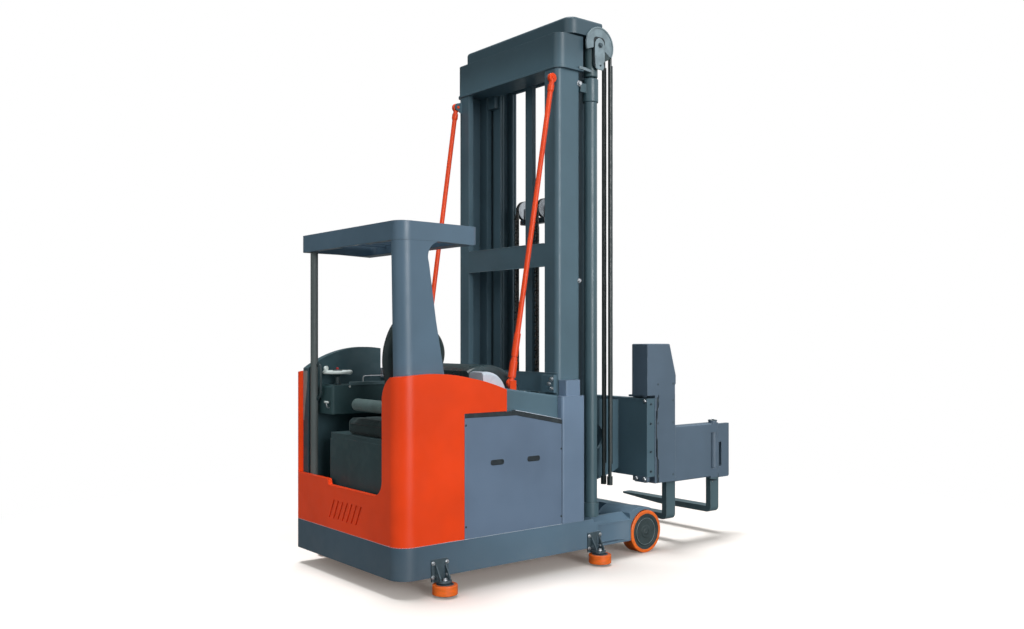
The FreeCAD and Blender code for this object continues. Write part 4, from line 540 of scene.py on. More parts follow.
# %% Finishes for the model's own pieces
pieces_of = {
    frame_slate: "chassis_frame", foot_slate_lit: "mast_foot_right mast_foot_left",
    cover_slate: "side_cover_right side_cover_left", cowl_orange: "rear_cowl", stay_orange: "mast_stays",
    guard_slate: "overhead_guard guard_bars", post_grey: "guard_post",
    # The deck takes the darker mast slate rather than the frame's: a painted shade for its recess under the
    # cowl.
    mast_slate: "outer_mast middle_mast inner_mast carriage deck", head_slate: "head_arm fork_carriage",
    fork_slate: "forks", ground_bright: "load_axles free_lift_head", rod_and_sleeve: "lift_rods",
    bracket_iron: "roller_brackets", chain_steel: "lift_chains",
    cylinder_slate: "lift_barrels free_lift_barrel",
    tread_orange: "load_tyre_right load_tyre_left guide_roller_rear_right guide_roller_rear_left "
                  "guide_roller_front_right guide_roller_front_left",
    hub_iron: "load_hub_right load_hub_left", drive_rubber: "drive_wheel", motor_black: "drive_unit",
    lining_plastic: "cab_wall cab_bulkhead", cab_plastic: "console", panel_plastic: "seat_base",
    hood_plastic: "hood_cover", floor_rubber: "cab_floor", fairing_silver: "hood_fairings",
    battery_black: "battery", seat_cloth: "seat_cushion seat_back", armrest_vinyl: "armrest",
    grip_plastic: "steering_wheel", hose_rubber: "hose_runs", sheave_cast: "hose_sheave",
}
finished = set()
for finish, names in pieces_of.items():
    for name in names.split():
        finished.add(name)
        for place in nodes[name].material_slots:
            place.material = finish
print("finished:", len(finished), "left plain:", sorted(set(nodes) - finished))

# %% [markdown]
# ## Small parts from rings
# Most small parts of a truck are turned on a lathe, bent from tube or cut from plate. All three can
# be seen as a stack of closed rings joined by quads: rings of changing radius for a turned part,
# rings carried along a line for a tube, and one outline repeated with its edges pulled in for a
# plate. So one function makes the skin and three short ones make the rings, as whole arrays.

# %% Rings and skins
REAR = 1.56  # metres from the truck's rear face to the frame's origin
UP, RIGHT, LEFT, BACK = (0, 0, 1), (0, -1, 0), (0, 1, 0), (-1, 0, 0)


def at(x, y, z):
    """A place in metres of the frame from millimetres ahead of the rear face, left and up."""
    return np.array([x / 1000 - REAR, y / 1000, z / 1000])


def ahead_mm(x):
    """Millimetres ahead of the rear face, from the frame's metres."""
    return (x + REAR) * 1000


def arc(a, b, radius, angles):
    """Points of a circle about (a, b) at the given angles."""
    return np.stack([a + radius * np.cos(angles), b + radius * np.sin(angles)], 1)


def circle_angles(sides):
    """Angles of a full turn in even steps."""
    return np.linspace(0, 2 * np.pi, sides, endpoint=False)


def loft(rings, wrap=False):
    """Closed skin over m rings of n points: quads between neighbours, and a flat face at each end."""
    rings = np.asarray(rings, float)
    m, n = rings.shape[:2]
    index = np.arange(m * n).reshape(m, n)
    near = index if wrap else index[:-1]
    far = np.roll(index, -1, 0) if wrap else index[1:]
    quads = np.stack([near, np.roll(near, -1, 1), np.roll(far, -1, 1), far], -1).reshape(-1, 4)
    ends = [] if wrap else [index[0][::-1].tolist(), index[-1].tolist()]
    return rings.reshape(-1, 3), quads.tolist() + ends


def square_to(along):
    """The unit direction of along and two unit directions square to it, by cross products."""
    along = np.asarray(along, float) / np.linalg.norm(along)
    side = np.cross(along, UP if abs(along[2]) < 0.9 else (1, 0, 0))
    side /= np.linalg.norm(side)
    return along, side, np.cross(along, side)


def turned(start, along, profile, sides=28, wrap=False):
    """Lathe: the ring for (r, h) is start + h along + r (cos a side + sin a other), in millimetres."""
    along, side, other = square_to(along)
    a = circle_angles(sides)[:, None]
    circle = np.cos(a) * side + np.sin(a) * other
    r, h = np.array(profile, float).T[:, :, None, None] / 1000
    return loft(start + h * along + r * circle, wrap)


def swept(path, radius, sides=12, wrap=False):
    """Tube: a circle square to the path's direction at each point, turned as little as possible."""
    path = np.asarray(path, float)
    step = np.roll(path, -1, 0) - np.roll(path, 1, 0) if wrap else np.gradient(path, axis=0)
    step /= np.linalg.norm(step, axis=1)[:, None]
    side = square_to(step[0])[1]
    sides_along = []
    for direction in step:
        side = side - direction * side.dot(direction)
        side = side / np.linalg.norm(side)
        sides_along.append(side)
    across = np.array(sides_along)
    other = np.cross(step, across)
    a = circle_angles(sides)
    radii = np.broadcast_to(np.asarray(radius, float) / 1000, len(path))[:, None, None]
    ring = np.cos(a)[None, :, None] * across[:, None] + np.sin(a)[None, :, None] * other[:, None]
    return loft(path[:, None] + radii * ring, wrap)


def pulled_in(outline, by):
    """The outline moved inwards by a distance: each corner goes along the mean of its two normals."""
    p = np.asarray(outline, float)
    edge = np.roll(p, -1, 0) - p
    edge /= np.maximum(np.linalg.norm(edge, axis=1), 1e-9)[:, None]
    normal = np.stack([-edge[:, 1], edge[:, 0]], 1)
    before = np.roll(normal, 1, 0)
    lean = np.maximum(1 + (normal * before).sum(1), 0.4)[:, None]
    area = (p[:, 0] * np.roll(p[:, 1], -1) - np.roll(p[:, 0], -1) * p[:, 1]).sum()
    return p + (normal + before) / lean * by * (1 if area > 0 else -1)


def plate(outline, plane, low, high, bevel=1.5):
    """Plate: an outline in millimetres in plane XZ, XY or YZ, from low to high on the third axis.
    The rings are the outline pulled in by bevel, the outline, the outline again and pulled in."""
    inner = pulled_in(outline, bevel)
    full = np.asarray(outline, float)
    rings = []
    for flat, level in ((inner, low), (full, low + bevel), (full, high - bevel), (inner, high)):
        a, b, c = flat[:, 0], flat[:, 1], np.full(len(flat), level)
        rings.append({"XZ": at(a, c, b), "XY": at(a, b, c), "YZ": at(c, a, b)}[plane].T)
    return loft(rings)


def rounded(a0, a1, b0, b1, radius, steps=5):
    """Rounded rectangle: a quarter circle of points about each corner's centre."""
    turn = np.linspace(0, np.pi / 2, steps)
    corners = []
    for i, (a, b) in enumerate(((a1, b1), (a0, b1), (a0, b0), (a1, b0))):
        middle = (a - radius if a == a1 else a + radius, b - radius if b == b1 else b + radius)
        corners.append(arc(*middle, radius, turn + i * np.pi / 2))
    return np.concatenate(corners)


def other_side(skins):
    """The same skins and their twins on the far side of the centre plane."""
    return skins + [(points * (1, -1, 1), faces) for points, faces in skins]


def cleaned(mesh, apart, outwards=False):
    """Merges points closer than apart, and turns the faces outwards where that is asked."""
    shape = bmesh.new()
    shape.from_mesh(mesh)
    bmesh.ops.remove_doubles(shape, verts=shape.verts, dist=apart)
    if outwards:
        bmesh.ops.recalc_face_normals(shape, faces=shape.faces)
    shape.to_mesh(mesh)
    shape.free()


def build(name, body, finish, skins, sharp=32):
    """One piece from several skins: joined, doubles merged, faces outwards, smooth but for sharp edges."""
    start = np.cumsum([0] + [len(points) for points, _ in skins])
    faces = [[i + offset for i in face] for offset, (_, skin) in zip(start, skins) for face in skin]
    mesh = bpy.data.meshes.new(name)
    mesh.from_pydata(np.concatenate([points for points, _ in skins]).tolist(), [], faces)
    cleaned(mesh, 1e-6, outwards=True)
    mesh.polygons.foreach_set("use_smooth", np.ones(len(mesh.polygons), bool))
    mesh.set_sharp_from_angle(angle=math.radians(sharp))
    mesh.materials.append(finish)
    piece = shown(name, mesh)
    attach(piece, body)
    print(f"{name}: {len(mesh.polygons)} faces on {body}")
    return piece


# %% [markdown]
# ## Screws
# A hexagon screw is a lathe shape with six sides: washer, head and a chamfered top. A socket screw
# is round and has a hollow in its head. Screws come in rows, so a row is worked out at once.

# %% Screws
def hex_screw(place, out, across=19.0):
    """Washer of radius 0.72 across, then a six-sided head 0.55 across high with a chamfered rim."""
    r = across / math.sqrt(3)
    top = 0.55 * across
    head = [(r * 0.3, 1.6), (r, 1.6), (r, 0.45 * across), (0.84 * r, top), (0.2 * r, top)]
    washer = [(r * 0.4, -0.5), (1.2 * r, -0.5), (1.24 * r, 0.6), (1.2 * r, 2.2), (r * 0.4, 2.2)]
    return [turned(place, out, head, 6), turned(place, out, washer, 20)]


def socket_screw(place, out, head=16.0):
    """Round head with a rim rounding and a hexagonal hollow half as wide and half as deep."""
    r = head / 2
    outer = [(r * 0.98, -0.5), (r, 0.4), (r, 0.70 * r), (0.86 * r, 0.90 * r), (0.55 * r, 0.90 * r),
             (0.52 * r, 0.25 * r), (0.1 * r, 0.22 * r)]
    return [turned(place, out, outer, 18)]


def row(screw, places, out, size):
    """One screw of a kind at each place, all pointing the same way."""
    return [skin for place in places for skin in screw(at(*place), out, size)]


print("shape helpers ready")

# %% [markdown]
# ## Seat and armrest
# The driver sits sideways on a foam cushion against a tall back, both in dark cloth, with a padded
# armrest beside the way in. A padded thing is fuller in the middle than its cover wants to be, so
# it isn't modelled but blown up: the model's solid is made a little smaller, given an even mesh of
# small cells and simulated as cloth with air pressure inside. No point may swell further than its
# cap, and nothing leaves the room of the solid, so the pad lies flat where it rests on something.

# %% Blowing up a pad
FRAMES = 20
ROOM = 0.0004  # metres that a pad keeps from the sides of its solid's box


def corners_of(mesh):
    """The mesh's points as an array of rows."""
    places = np.empty(len(mesh.vertices) * 3)
    mesh.vertices.foreach_get("co", places)
    return places.reshape(-1, 3)


def evaluated(thing):
    """The object as its modifiers leave it."""
    return thing.evaluated_get(bpy.context.evaluated_depsgraph_get())


def even_mesh(name, solid, smaller_mm, cell_mm):
    """A copy of the model's pad, smaller_mm smaller on every side, remeshed into even cells."""
    mesh = nodes[solid].data.copy()
    mesh.name = name
    low, high = (np.array(p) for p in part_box(solid))
    middle, size = (low + high) / 2, high - low
    places = (corners_of(mesh) - middle) * (1 - 2 * smaller_mm / 1000 / size) + middle
    mesh.vertices.foreach_set("co", places.ravel())
    cleaned(mesh, 1e-5)
    pad = shown(name, mesh)
    cells = pad.modifiers.new("cells", "REMESH")
    cells.mode = "VOXEL"
    cells.voxel_size = cell_mm / 1000
    pad.data = bpy.data.meshes.new_from_object(evaluated(pad))
    pad.modifiers.clear()
    return pad, low, high


def blow_up(pad, pressure, cap_mm, low, high):
    """Cloth with air pressure for some frames; each move is cut to the cap and held in the solid's box."""
    start = corners_of(pad.data)
    cloth = pad.modifiers.new("air", "CLOTH")
    cloth.settings.use_pressure = True
    cloth.settings.uniform_pressure_force = pressure
    cloth.settings.effector_weights.gravity = 0
    cloth.settings.quality = 4
    for moment in range(1, FRAMES + 1):
        scene.frame_set(moment)
    step = corners_of(evaluated(pad).data) - start
    pad.modifiers.clear()
    scene.frame_set(1)
    far = np.linalg.norm(step, axis=1)[:, None]
    step *= np.minimum(1, cap_mm / 1000 / np.maximum(far, 1e-9))
    start = start + step
    print(f"  {pad.name} swelled {1000 * far.mean():.1f} mm on average")
    return np.clip(start, low + ROOM, high - ROOM)


def upholster(pad, places, solid, finish):
    """Writes the points, smooths once by subdivision and puts the pad in its solid's place."""
    pad.data.vertices.foreach_set("co", places.ravel())
    pad.data.polygons.foreach_set("use_smooth", np.ones(len(pad.data.polygons), bool))
    pad.data.materials.clear()
    pad.data.materials.append(finish)
    smooth = pad.modifiers.new("smooth", "SUBSURF")
    smooth.levels = smooth.render_levels = 1
    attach(pad, "chassis")
    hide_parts(solid)
    print(f"{pad.name}: {len(places)} points")


def groove(distance_mm, depth_mm, width_mm=7):
    """A sewn channel's depth across it: a bell curve, in metres."""
    return depth_mm / 1000 * np.exp(-(distance_mm / width_mm) ** 2)


def high_side(places, axis, low, high, less):
    """0 to 1 from the pad's middle to its high side on one axis: twice the way across, less a number."""
    return np.clip((places[:, axis] - low[axis]) / (high[axis] - low[axis]) * 2 - less, 0, 1)


# %% [markdown]
# The cushion is sewn from three panels across its width, with a channel between them, and the
# middle one has a channel across. The back has an inner panel with three channels across it.

# %% Seat cushion
CUSHION_X = 313
pad, low, high = even_mesh("cushion_pad", "seat_cushion", 7, 6)
places = blow_up(pad, 4.0, 12, low, high)
x_mm, y_mm = ahead_mm(places[:, 0]), places[:, 1] * 1000
sewn = groove(x_mm - 200, 7) + groove(x_mm - 426, 7) + groove(y_mm - 40, 5) * (abs(x_mm - CUSHION_X) < 110)
places[:, 2] -= sewn * high_side(places, 2, low, high, 0.9)
upholster(pad, places, "seat_cushion", seat_cloth)

# %% Seat back
BACK_X = 262
pad, low, high = even_mesh("back_pad", "seat_back", 7, 6)
places = blow_up(pad, 4.0, 12, low, high)
aside, z_mm = abs(ahead_mm(places[:, 0]) - BACK_X), places[:, 2] * 1000
sewn = groove(aside - 128, 7) * (z_mm < 1480)
sewn = sewn + (aside < 150) * (groove(z_mm - 1130, 6) + groove(z_mm - 1260, 6) + groove(z_mm - 1480, 8, 8))
places[:, 1] -= sewn * high_side(places, 1, low, high, 0.8)
upholster(pad, places, "seat_back", seat_cloth)

# %% Armrest
pad, low, high = even_mesh("armrest_pad", "armrest", 4, 5)
places = blow_up(pad, 3.0, 6, low, high)
upholster(pad, places, "armrest", armrest_vinyl)

# %% [markdown]
# Where the top cover and the side cover of a pad are sewn together a piping shows: a thin vinyl
# cord. Its path goes round the pad at one height, and lies on the pad: for each direction from the
# pad's middle line the furthest point of the pad near that height is taken, and the ring is smoothed
# by a moving mean.

# %% Piping
def ring_round(places, level_axis, level, band, count=160, spread=5):
    """Furthest point from the middle for each of count directions, in a thin slice; then a moving mean."""
    near = places[np.abs(places[:, level_axis] - level) < band]
    flat = [axis for axis in range(3) if axis != level_axis]
    away = near[:, flat] - (near[:, flat].max(0) + near[:, flat].min(0)) / 2
    turn = np.floor((np.arctan2(away[:, 1], away[:, 0]) / (2 * np.pi) + 0.5) * count).astype(int) % count
    far = np.linalg.norm(away, axis=1)
    order = np.lexsort((far, turn))
    kept = near[order[np.append(np.diff(turn[order]) > 0, True)]]
    weights = np.ones(spread) / spread
    padded = np.concatenate([kept[-spread:], kept, kept[:spread]])
    smooth = np.stack([np.convolve(padded[:, a], weights, "same") for a in range(3)], 1)[spread:-spread]
    smooth[:, level_axis] = level
    return smooth


piping = []
for name, axis, below in (("cushion_pad", 2, 0.034), ("back_pad", 1, 0.030)):
    places = corners_of(bpy.data.objects[name].data)
    level = places.max(0)[axis] - below
    piping.append(swept(ring_round(places, axis, level, 0.006), 3.2, 8, wrap=True))
build("seat_piping", "chassis", seat_edge, piping)

# %% [markdown]
# ## Bodywork details
# The lift-off side covers close against a rubber seal that runs along their top edge, first level
# under the cowl and then falling towards the mast. Each cover is lifted by two recessed grips, and
# held by small dark quarter-turn studs at its four corners. All of these repeat on the left, so each
# is made once and mirrored. Thin silver strips are painted highlights: one along the top of the seal,
# and one along the top edge of the skirt, also round its rear corners, of which the right one is wide
# and the left one tight.

# %% Seals, edges, grips and studs
EDGE_Z = 298.6


def band(points, thick_mm, out_y, in_y, bevel=1.2):
    """A strip that follows a line of (x, z) points: the line raised by its thickness, as one outline."""
    line = np.array(points, float)
    outline = np.concatenate([line, line[::-1] + (0, thick_mm)])
    return plate(outline, "XZ", out_y, in_y, bevel)


def corner(x, y, radius, side, sweep):
    """Rear corner of the skirt about (x, y), run through from its side face or from its rear face."""
    return [at(x - radius * math.sin(s), y + side * radius * math.cos(s), EDGE_Z) for s in sweep]


seal_line = [(464, 1030), (862, 1027), (1000, 1000), (1120, 976.5), (1247, 951)]
seal_highlight_line = [(866, 1057), (1000, 1030.5), (1120, 1007), (1246, 981.5)]
skirt_highlight_line = [(262, 297.6), (760, 297.6), (1247, 297.6)]
# Painted highlights: pale strips on the seal's top and along the skirt's top edge, where light catches
# them.
highlight_strips = [band(seal_highlight_line, 4, -641, -603.6, 0.6), band(skirt_highlight_line, 2.4, -650.8, -646, 0.6)]
sweep = np.linspace(0, math.pi / 2, 10)
# The skirt's rear corners carry the same painted highlight along their top edge.
rear_highlight_line = ([at(262, -647.1, EDGE_Z)] + corner(110, -538, 109.1, -1, sweep)
             + corner(30, 618, 29.1, 1, math.pi / 2 - sweep) + [at(262, 647.1, EDGE_Z)])
gap = plate(rounded(1246.8, 1252.6, 300, 952, 1.5, 3), "XZ", -643, -632, 0.5)
seal = [band(seal_line, 27.5, -650.4, -604)]
build("cover_seals", "chassis", seal_rubber, other_side(seal))
build("seal_highlight_strips", "chassis", fairing_silver, other_side(highlight_strips))
build("skirt_edge_highlight", "chassis", fairing_silver, [swept(rear_highlight_line, 1.3, 8)])
build("cover_gap", "chassis", seal_rubber, other_side([gap]))

cups = []
for x in (711, 1005):
    rim, inner = rounded(x - 52, x + 52, 728, 762, 14), rounded(x - 45, x + 45, 735, 755, 9)
    rings = [(rim, -648.4), (rim, -650.0), (pulled_in(rim, 2), -650.8), (inner, -650.2), (inner, -637.0)]
    cups.append(loft([np.stack(at(r[:, 0], np.full(len(r), y), r[:, 1]), 1) for r, y in rings]))
    cups.append(plate(rounded(x - 49, x + 49, 731.5, 758.5, 10), "XZ", -640, -632.4, 1))
build("cover_grips", "chassis", seal_rubber, other_side(cups))

stud = [(6.5, 0), (6.5, 1.4), (5.4, 2.0), (4.4, 1.2), (0.5, 1.2)]
stud_places = ((471, 985), (471, 372), (1241, 790), (1241, 350))
latches = [turned(at(x, -647.5, z), RIGHT, stud, 20) for x, z in stud_places]
build("cover_latches", "chassis", seal_rubber, other_side(latches))

# %% [markdown]
# ## Guide rollers and their brackets
# A roller on an upright pin runs along a rail beside the aisle, so it takes the side load of the
# whole truck. Its bearing is closed above and below by a pressed cap with a paler rim, the pin is
# held by a nut above the shelf, and each bracket is screwed to the frame at four corners.

# %% Guide rollers
ROLLERS = {"rear": 275, "front": 1533}
ROLLER_Y = 708
cap = [(13.5, -1.5), (52, -1.5), (53, 1.0), (50, 2.6), (46, 2.8), (43, 1.2), (24, 1.2), (21, 3.4),
       (13.5, 3.4)]
screws = []
for end, x in ROLLERS.items():
    for side, sign in (("right", -1), ("left", 1)):
        caps = [turned(at(x, sign * ROLLER_Y, z), (0, 0, out), cap, 40, wrap=True)
                for z, out in ((73, 1), (15, -1))]
        build(f"roller_caps_{end}_{side}", f"guide_roller_{end}_{side}", bracket_iron, caps)
    screws += row(hex_screw, [(x + dx, -658, z) for dx in (-50, 50) for z in (108, 190)], RIGHT, 17)
for x in ROLLERS.values():
    screws += hex_screw(at(x, -ROLLER_Y, 95), UP, 24)
build("roller_bracket_screws", "chassis", zinc_steel, other_side(screws))

# %% [markdown]
# ## Load wheels
# The load wheel has a plain iron centre, pressed into the orange tread, with one turned groove that
# is kept bright by grease from the bearing. The axle's end is closed by a flat dark cap. Above the
# wheel the arm's housing reaches out over the tread as a mudguard, cut to a circle just wider than
# the wheel. It is one plate outline, given the arm's arched top above and the circle below.

# %% Load wheels
WHEEL_X, WHEEL_Z = 2044, 149
WHEEL_RINGS = (([(90, -1), (93.5, -1), (93.5, 0.8), (91.8, 1.3), (90, 0.8)], 64),
               ([(121, -1), (125.5, -1), (126, 1.6), (124, 2.6), (121, 1.8)], 64),
               ([(26.5, -1), (36, -1), (36, 2.4), (34, 3.2), (26.5, 3.2)], 40))
for side, sign in (("right", -1), ("left", 1)):
    face, out = at(WHEEL_X, sign * 644, WHEEL_Z), (0, sign, 0)
    rings = [turned(face, out, profile, sides, wrap=True) for profile, sides in WHEEL_RINGS]
    build(f"load_wheel_groove_{side}", f"load_wheel_{side}", groove_grey, rings[:1])
    build(f"load_wheel_trim_{side}", f"load_wheel_{side}", hub_iron, rings[1:])
axle_end = [(24.4, 0), (24.4, 1.2), (22, 2.6), (12, 3.0), (10, 1.8), (0.5, 1.8)]
caps = [turned(at(WHEEL_X, -645, WHEEL_Z), RIGHT, axle_end, 32)]
build("axle_caps", "chassis", hub_iron, other_side(caps))

# The outline goes from the rear over the crest, and back round the wheel.
crest = [(1889, 149), (1889, 292), (1906, 306), (1940, 318), (1985, 324.5), (2030, 324), (2068, 318),
         (2098, 309), (2100, 306), (2100, 298)]
around = arc(WHEEL_X, WHEEL_Z, 154, np.linspace(math.radians(68.4), math.radians(180), 22))
guards = [plate(np.concatenate([np.array(crest), around]), "XZ", -640, -526, 2.0)]
build("mudguards", "chassis", frame_slate, other_side(guards))

# %% [markdown]
# ## Frame welds
# The frame is welded from plate, and a weld bead is a row of small overlapping ripples. The bead
# here is a tube along the joint whose radius swells once every few millimetres.

# %% Weld beads
def bead(start, end, radius_mm=3.4, ripple_mm=5.0):
    """Tube from start to end; its radius is r (1 + 0.13 |sin|) with one hump for each ripple."""
    start, end = np.asarray(start, float), np.asarray(end, float)
    length = np.linalg.norm(end - start)
    count = max(8, int(length * 1000 / ripple_mm * 2))
    t = np.linspace(0, 1, count)
    radius = radius_mm * (1 + 0.13 * np.abs(np.sin(np.arange(count) * np.pi / 2)) + 0.04 * np.sin(t * 37))
    radius[[0, -1]] *= 0.45
    return swept(start + t[:, None] * (end - start), radius, 7)


frame_welds = []
for x in ROLLERS.values():
    frame_welds.append(bead(at(x - 59, -648.6, 211), at(x + 59, -648.6, 211), 3.0))
    for dx in (-29.5, 29.5):
        frame_welds.append(bead(at(x + dx, -659, 96), at(x + dx, -659, 178), 2.4))
frame_welds.append(bead(at(1890, -528.8, 200.5), at(1890, -338.5, 200.5), 3.6))
frame_welds.append(bead(at(1256, -562, 297.5), at(1452, -562, 297.5), 3.2))
build("frame_welds", "chassis", frame_slate, other_side(frame_welds))

# %% [markdown]
# ## Steering wheel and console
# The small steering wheel lies flat on the console. A pale grip is moulded round its steel rim, two
# flat spokes run to a black boss, and a knob stands on the rim for one-handed turning. The grip is
# a tube bent to a circle, and it is thicker along two stretches where the hands hold it.

# %% Steering wheel
STEER_X, STEER_Y = 192, 430
RIM_MM = 85
turns = circle_angles(72)
rim = at(STEER_X, STEER_Y, 1284) + RIM_MM / 1000 * np.stack([np.cos(turns), np.sin(turns), np.zeros(72)], 1)
swell = 11.4 + 5.0 * np.exp(-((turns - 5.5) / 0.55) ** 2) + 2.0 * np.exp(-((turns - 2.6) / 0.5) ** 2)
wheel_skins = [swept(rim, swell, 14, wrap=True)]
for near, far in ((-82, -24), (24, 82)):
    spoke = rounded(STEER_X + near, STEER_X + far, STEER_Y - 9, STEER_Y + 9, 4, 3)
    wheel_skins.append(plate(spoke, "XY", 1275, 1287, 2))
knob = [(6, 0), (7, 14), (12, 20), (15.6, 30), (15.4, 42), (11, 49), (0.5, 51)]
wheel_skins.append(turned(at(STEER_X - RIM_MM, STEER_Y, 1276), UP, knob, 24))
grip = build("steering_wheel_grip", "steering_wheel", pale_grip, wheel_skins, 50)
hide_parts("steering_wheel")
boss = [(26, 0), (28, 3), (24, 8), (17, 14), (15, 52), (29, 64), (34, 72), (34, 92), (28, 99), (14, 102),
        (0.5, 102.4)]
build("steering_boss", "steering_wheel", hood_plastic,
      [turned(at(STEER_X, STEER_Y, 1200.6), UP, boss, 36)], 40)

# %% [markdown]
# ## Controls round the driver
# The console's inner edge carries a paler trim strip with a thin grab rail above it. A switch panel
# lies on the console: a blank display in a bezel and three round push buttons. A lever with a pale
# knob stands at the console's end, and a handle helps the driver up beside the entry. The seat's
# base has a panel with four screws, and the rubber floor has raised ribs.

# %% Console, lever, handle and floor ribs
CONSOLE_TOP = 1199.5
trim = [plate(rounded(226, 597, 1197, 1221, 5), "XZ", 324, 338, 1.5)]
build("console_trim", "chassis", trim_grey, trim)
rail_path = [at(x, 332, z) for x, z in ((332, 1212), (332, 1246), (336, 1254), (346, 1258), (470, 1258),
                                        (586, 1258), (594, 1254), (596, 1246), (596, 1212))]
build("console_rail", "chassis", zinc_steel, [swept(rail_path, 4.2, 12)])
bezel, glass = rounded(364, 520, 364, 478, 14), rounded(372, 512, 372, 470, 10)
build("display_bezel", "chassis", hood_plastic, [plate(bezel, "XY", CONSOLE_TOP, 1209, 2.5)])
build("display_glass", "chassis", gauge_glass, [plate(glass, "XY", 1208.6, 1210, 0.5)])
push = [(12, 0), (12, 3), (8.6, 4), (8.4, 9), (6.5, 11), (0.5, 11.4)]
buttons = [turned(at(x, 500, CONSOLE_TOP + 0.1), UP, push, 28) for x in (392, 442, 492)]
build("push_buttons", "chassis", trim_grey, buttons)
white = turned(at(226, 324.5, 1190), RIGHT, [(7, 0), (7, 2), (5, 4.2), (0.5, 4.8)], 24)
build("white_button", "chassis", knob_white, [white])
lever_path = [at(99, 372, 1052), at(88, 372, 1054), at(80, 372, 1064), at(78, 372, 1084)]
build("lever_stem", "chassis", zinc_steel, [swept(lever_path, 4.0, 10)])
tee = [(4, 0), (7.4, 2), (8.2, 12), (7.6, 22), (8.2, 32), (7.4, 42), (4, 44)]
build("lever_knob", "chassis", knob_white, [turned(at(78, 350, 1090), LEFT, tee, 20)])
horn_profile = [(9, 0), (9.5, 3), (9, 10), (6, 13.5), (0.5, 14.2)]
horn = turned(at(STEER_X, STEER_Y, 1301.5), UP, horn_profile, 24)
build("wheel_button", "steering_wheel", knob_red, [horn])
# The lining's rear end face gets a paler plate: painted light, the end face as it looks where light falls
# on it.
lit_end = [(618, 1292), (557, 1292), (566, 1180), (592, 1060), (604, 960), (618, 960)]
build("lining_end_painted_light", "chassis", end_painted_light_grey, [plate(lit_end, "YZ", 34.0, 36.4, 0.6)])

HANDLE_ENDS = (1112, 1338)
half = [(72, 484, 0), (74, 462, 4), (76, 448, 18), (76, 444, 48)]
smooth = np.array([at(x, y, HANDLE_ENDS[0] + z) for x, y, z in half]
                  + [at(x, y, HANDLE_ENDS[1] - z) for x, y, z in half[::-1]])
for _ in range(2):
    mid = (smooth[1:] + smooth[:-1]) / 2
    near, far = (smooth[:-1] + mid) / 2, (smooth[1:] + mid) / 2
    smooth = np.concatenate([smooth[:1], np.stack([near, far], 1).reshape(-1, 3), smooth[-1:]])
grab = [swept(smooth, 9.0, 14)]
grab += [turned(at(72, 489, z), RIGHT, [(17, 0), (17, 4), (14, 6), (9, 7)], 24) for z in HANDLE_ENDS]
build("entry_handle", "chassis", hood_plastic, grab, 45)

panel = [plate(rounded(-412, 286, 560, 872, 16), "YZ", 59.5, 62.5, 1.0)]
panel += row(socket_screw, [(59.4, y, z) for y in (-394, 268) for z in (580, 852)], BACK, 11)
build("seat_base_panel", "chassis", panel_plastic, panel)
ribs = [plate(rounded(x, x + 9, 318, 420, 3, 3), "XY", 347.5, 351.5, 1.0) for x in range(70, 560, 24)]
build("floor_ribs", "chassis", floor_rubber, ribs)

# %% [markdown]
# ## Armrest end and hood
# The armrest has a pivot with a small round cover. The hood between cab and mast lifts on two
# hinges with three knuckles each, and a lamp with a clear lens sits under the roof.

# %% Armrest pivot, hood hinges and lamp
cover = [(15, -4), (15, 1), (12, 3.4), (4, 4.2), (0.5, 4.2)]
pivot = turned(at(155, 51, 1090), LEFT, cover, 26)
build("armrest_pivot", "chassis", hood_plastic, [pivot])
knuckles = [(3, 0), (8, 0.8), (8, 20), (7, 20.6), (7, 21.6), (8, 22.2), (8, 42), (7, 42.6), (7, 43.6),
            (8, 44.2), (8, 63), (3, 64)]
hinges = [turned(at(1050, y - 32, 1172), LEFT, knuckles, 20) for y in (-300, 300)]
build("hood_hinges", "chassis", bracket_iron, hinges)
lamp = plate(rounded(-34, 74, 2098, 2118, 6), "YZ", 70, 96, 3)
lens = plate(rounded(-26, 66, 2096.6, 2102, 2, 3), "YZ", 74, 92, 1)
build("cab_lamp_body", "chassis", hood_plastic, [lamp])
build("cab_lamp_lens", "chassis", clear_lens, [lens])

# %% [markdown]
# ## Mast head
# The hoses run up the right-hand side of the mast over a sheave at the top of the middle stage. A
# cast guard covers the sheave from outside: a half disc whose rim follows the groove, with a thick
# tongue bolted over the axle. Both are flat castings with rounded edges, so they are made of plates.

# %% Sheave guard
SHEAVE_X, SHEAVE_Z = 1626, 3502
GUARD_Y, TONGUE_Y = -611, -621
sweep = np.linspace(math.radians(-33), math.radians(199), 44)
outer = arc(SHEAVE_X, SHEAVE_Z, 126, sweep)
half_disc, rim = [np.concatenate([outer, arc(SHEAVE_X, SHEAVE_Z, r, sweep[::-1])]) for r in (46, 116)]
guard = [plate(half_disc, "XZ", GUARD_Y, -601.5, 2.5), plate(rim, "XZ", -617, -610, 2.0)]
build("sheave_guard", "middle_mast", cast_grey, guard)
# A dark sheet behind the guard is a painted shadow: the shade that the guard casts on the mast's side.
shadow_gap = [plate(rounded(1568, 1674, 3342, 3560, 30, 6), "XZ", -611.8, -603, 0.6)]
build("painted_shadow_behind_guard", "middle_mast", seal_rubber, shadow_gap)
tongue = [(1582, 3344), (1598, 3336), (1650, 3336), (1662, 3358), (1654, 3384), (1666, 3402), (1666, 3502),
          (1656, 3532), (1636, 3549), (1612, 3552), (1590, 3538), (1576, 3512), (1574, 3432), (1578, 3384)]
tongue_skin = plate(tongue, "XZ", TONGUE_Y, GUARD_Y, 3.0)
build("sheave_tongue", "middle_mast", cast_pale, [tongue_skin])
bolts = hex_screw(at(1620, TONGUE_Y, SHEAVE_Z), RIGHT, 26)
bolts += socket_screw(at(1622, TONGUE_Y, 3364), RIGHT, 13)
build("sheave_bolts", "middle_mast", bracket_iron, bolts)

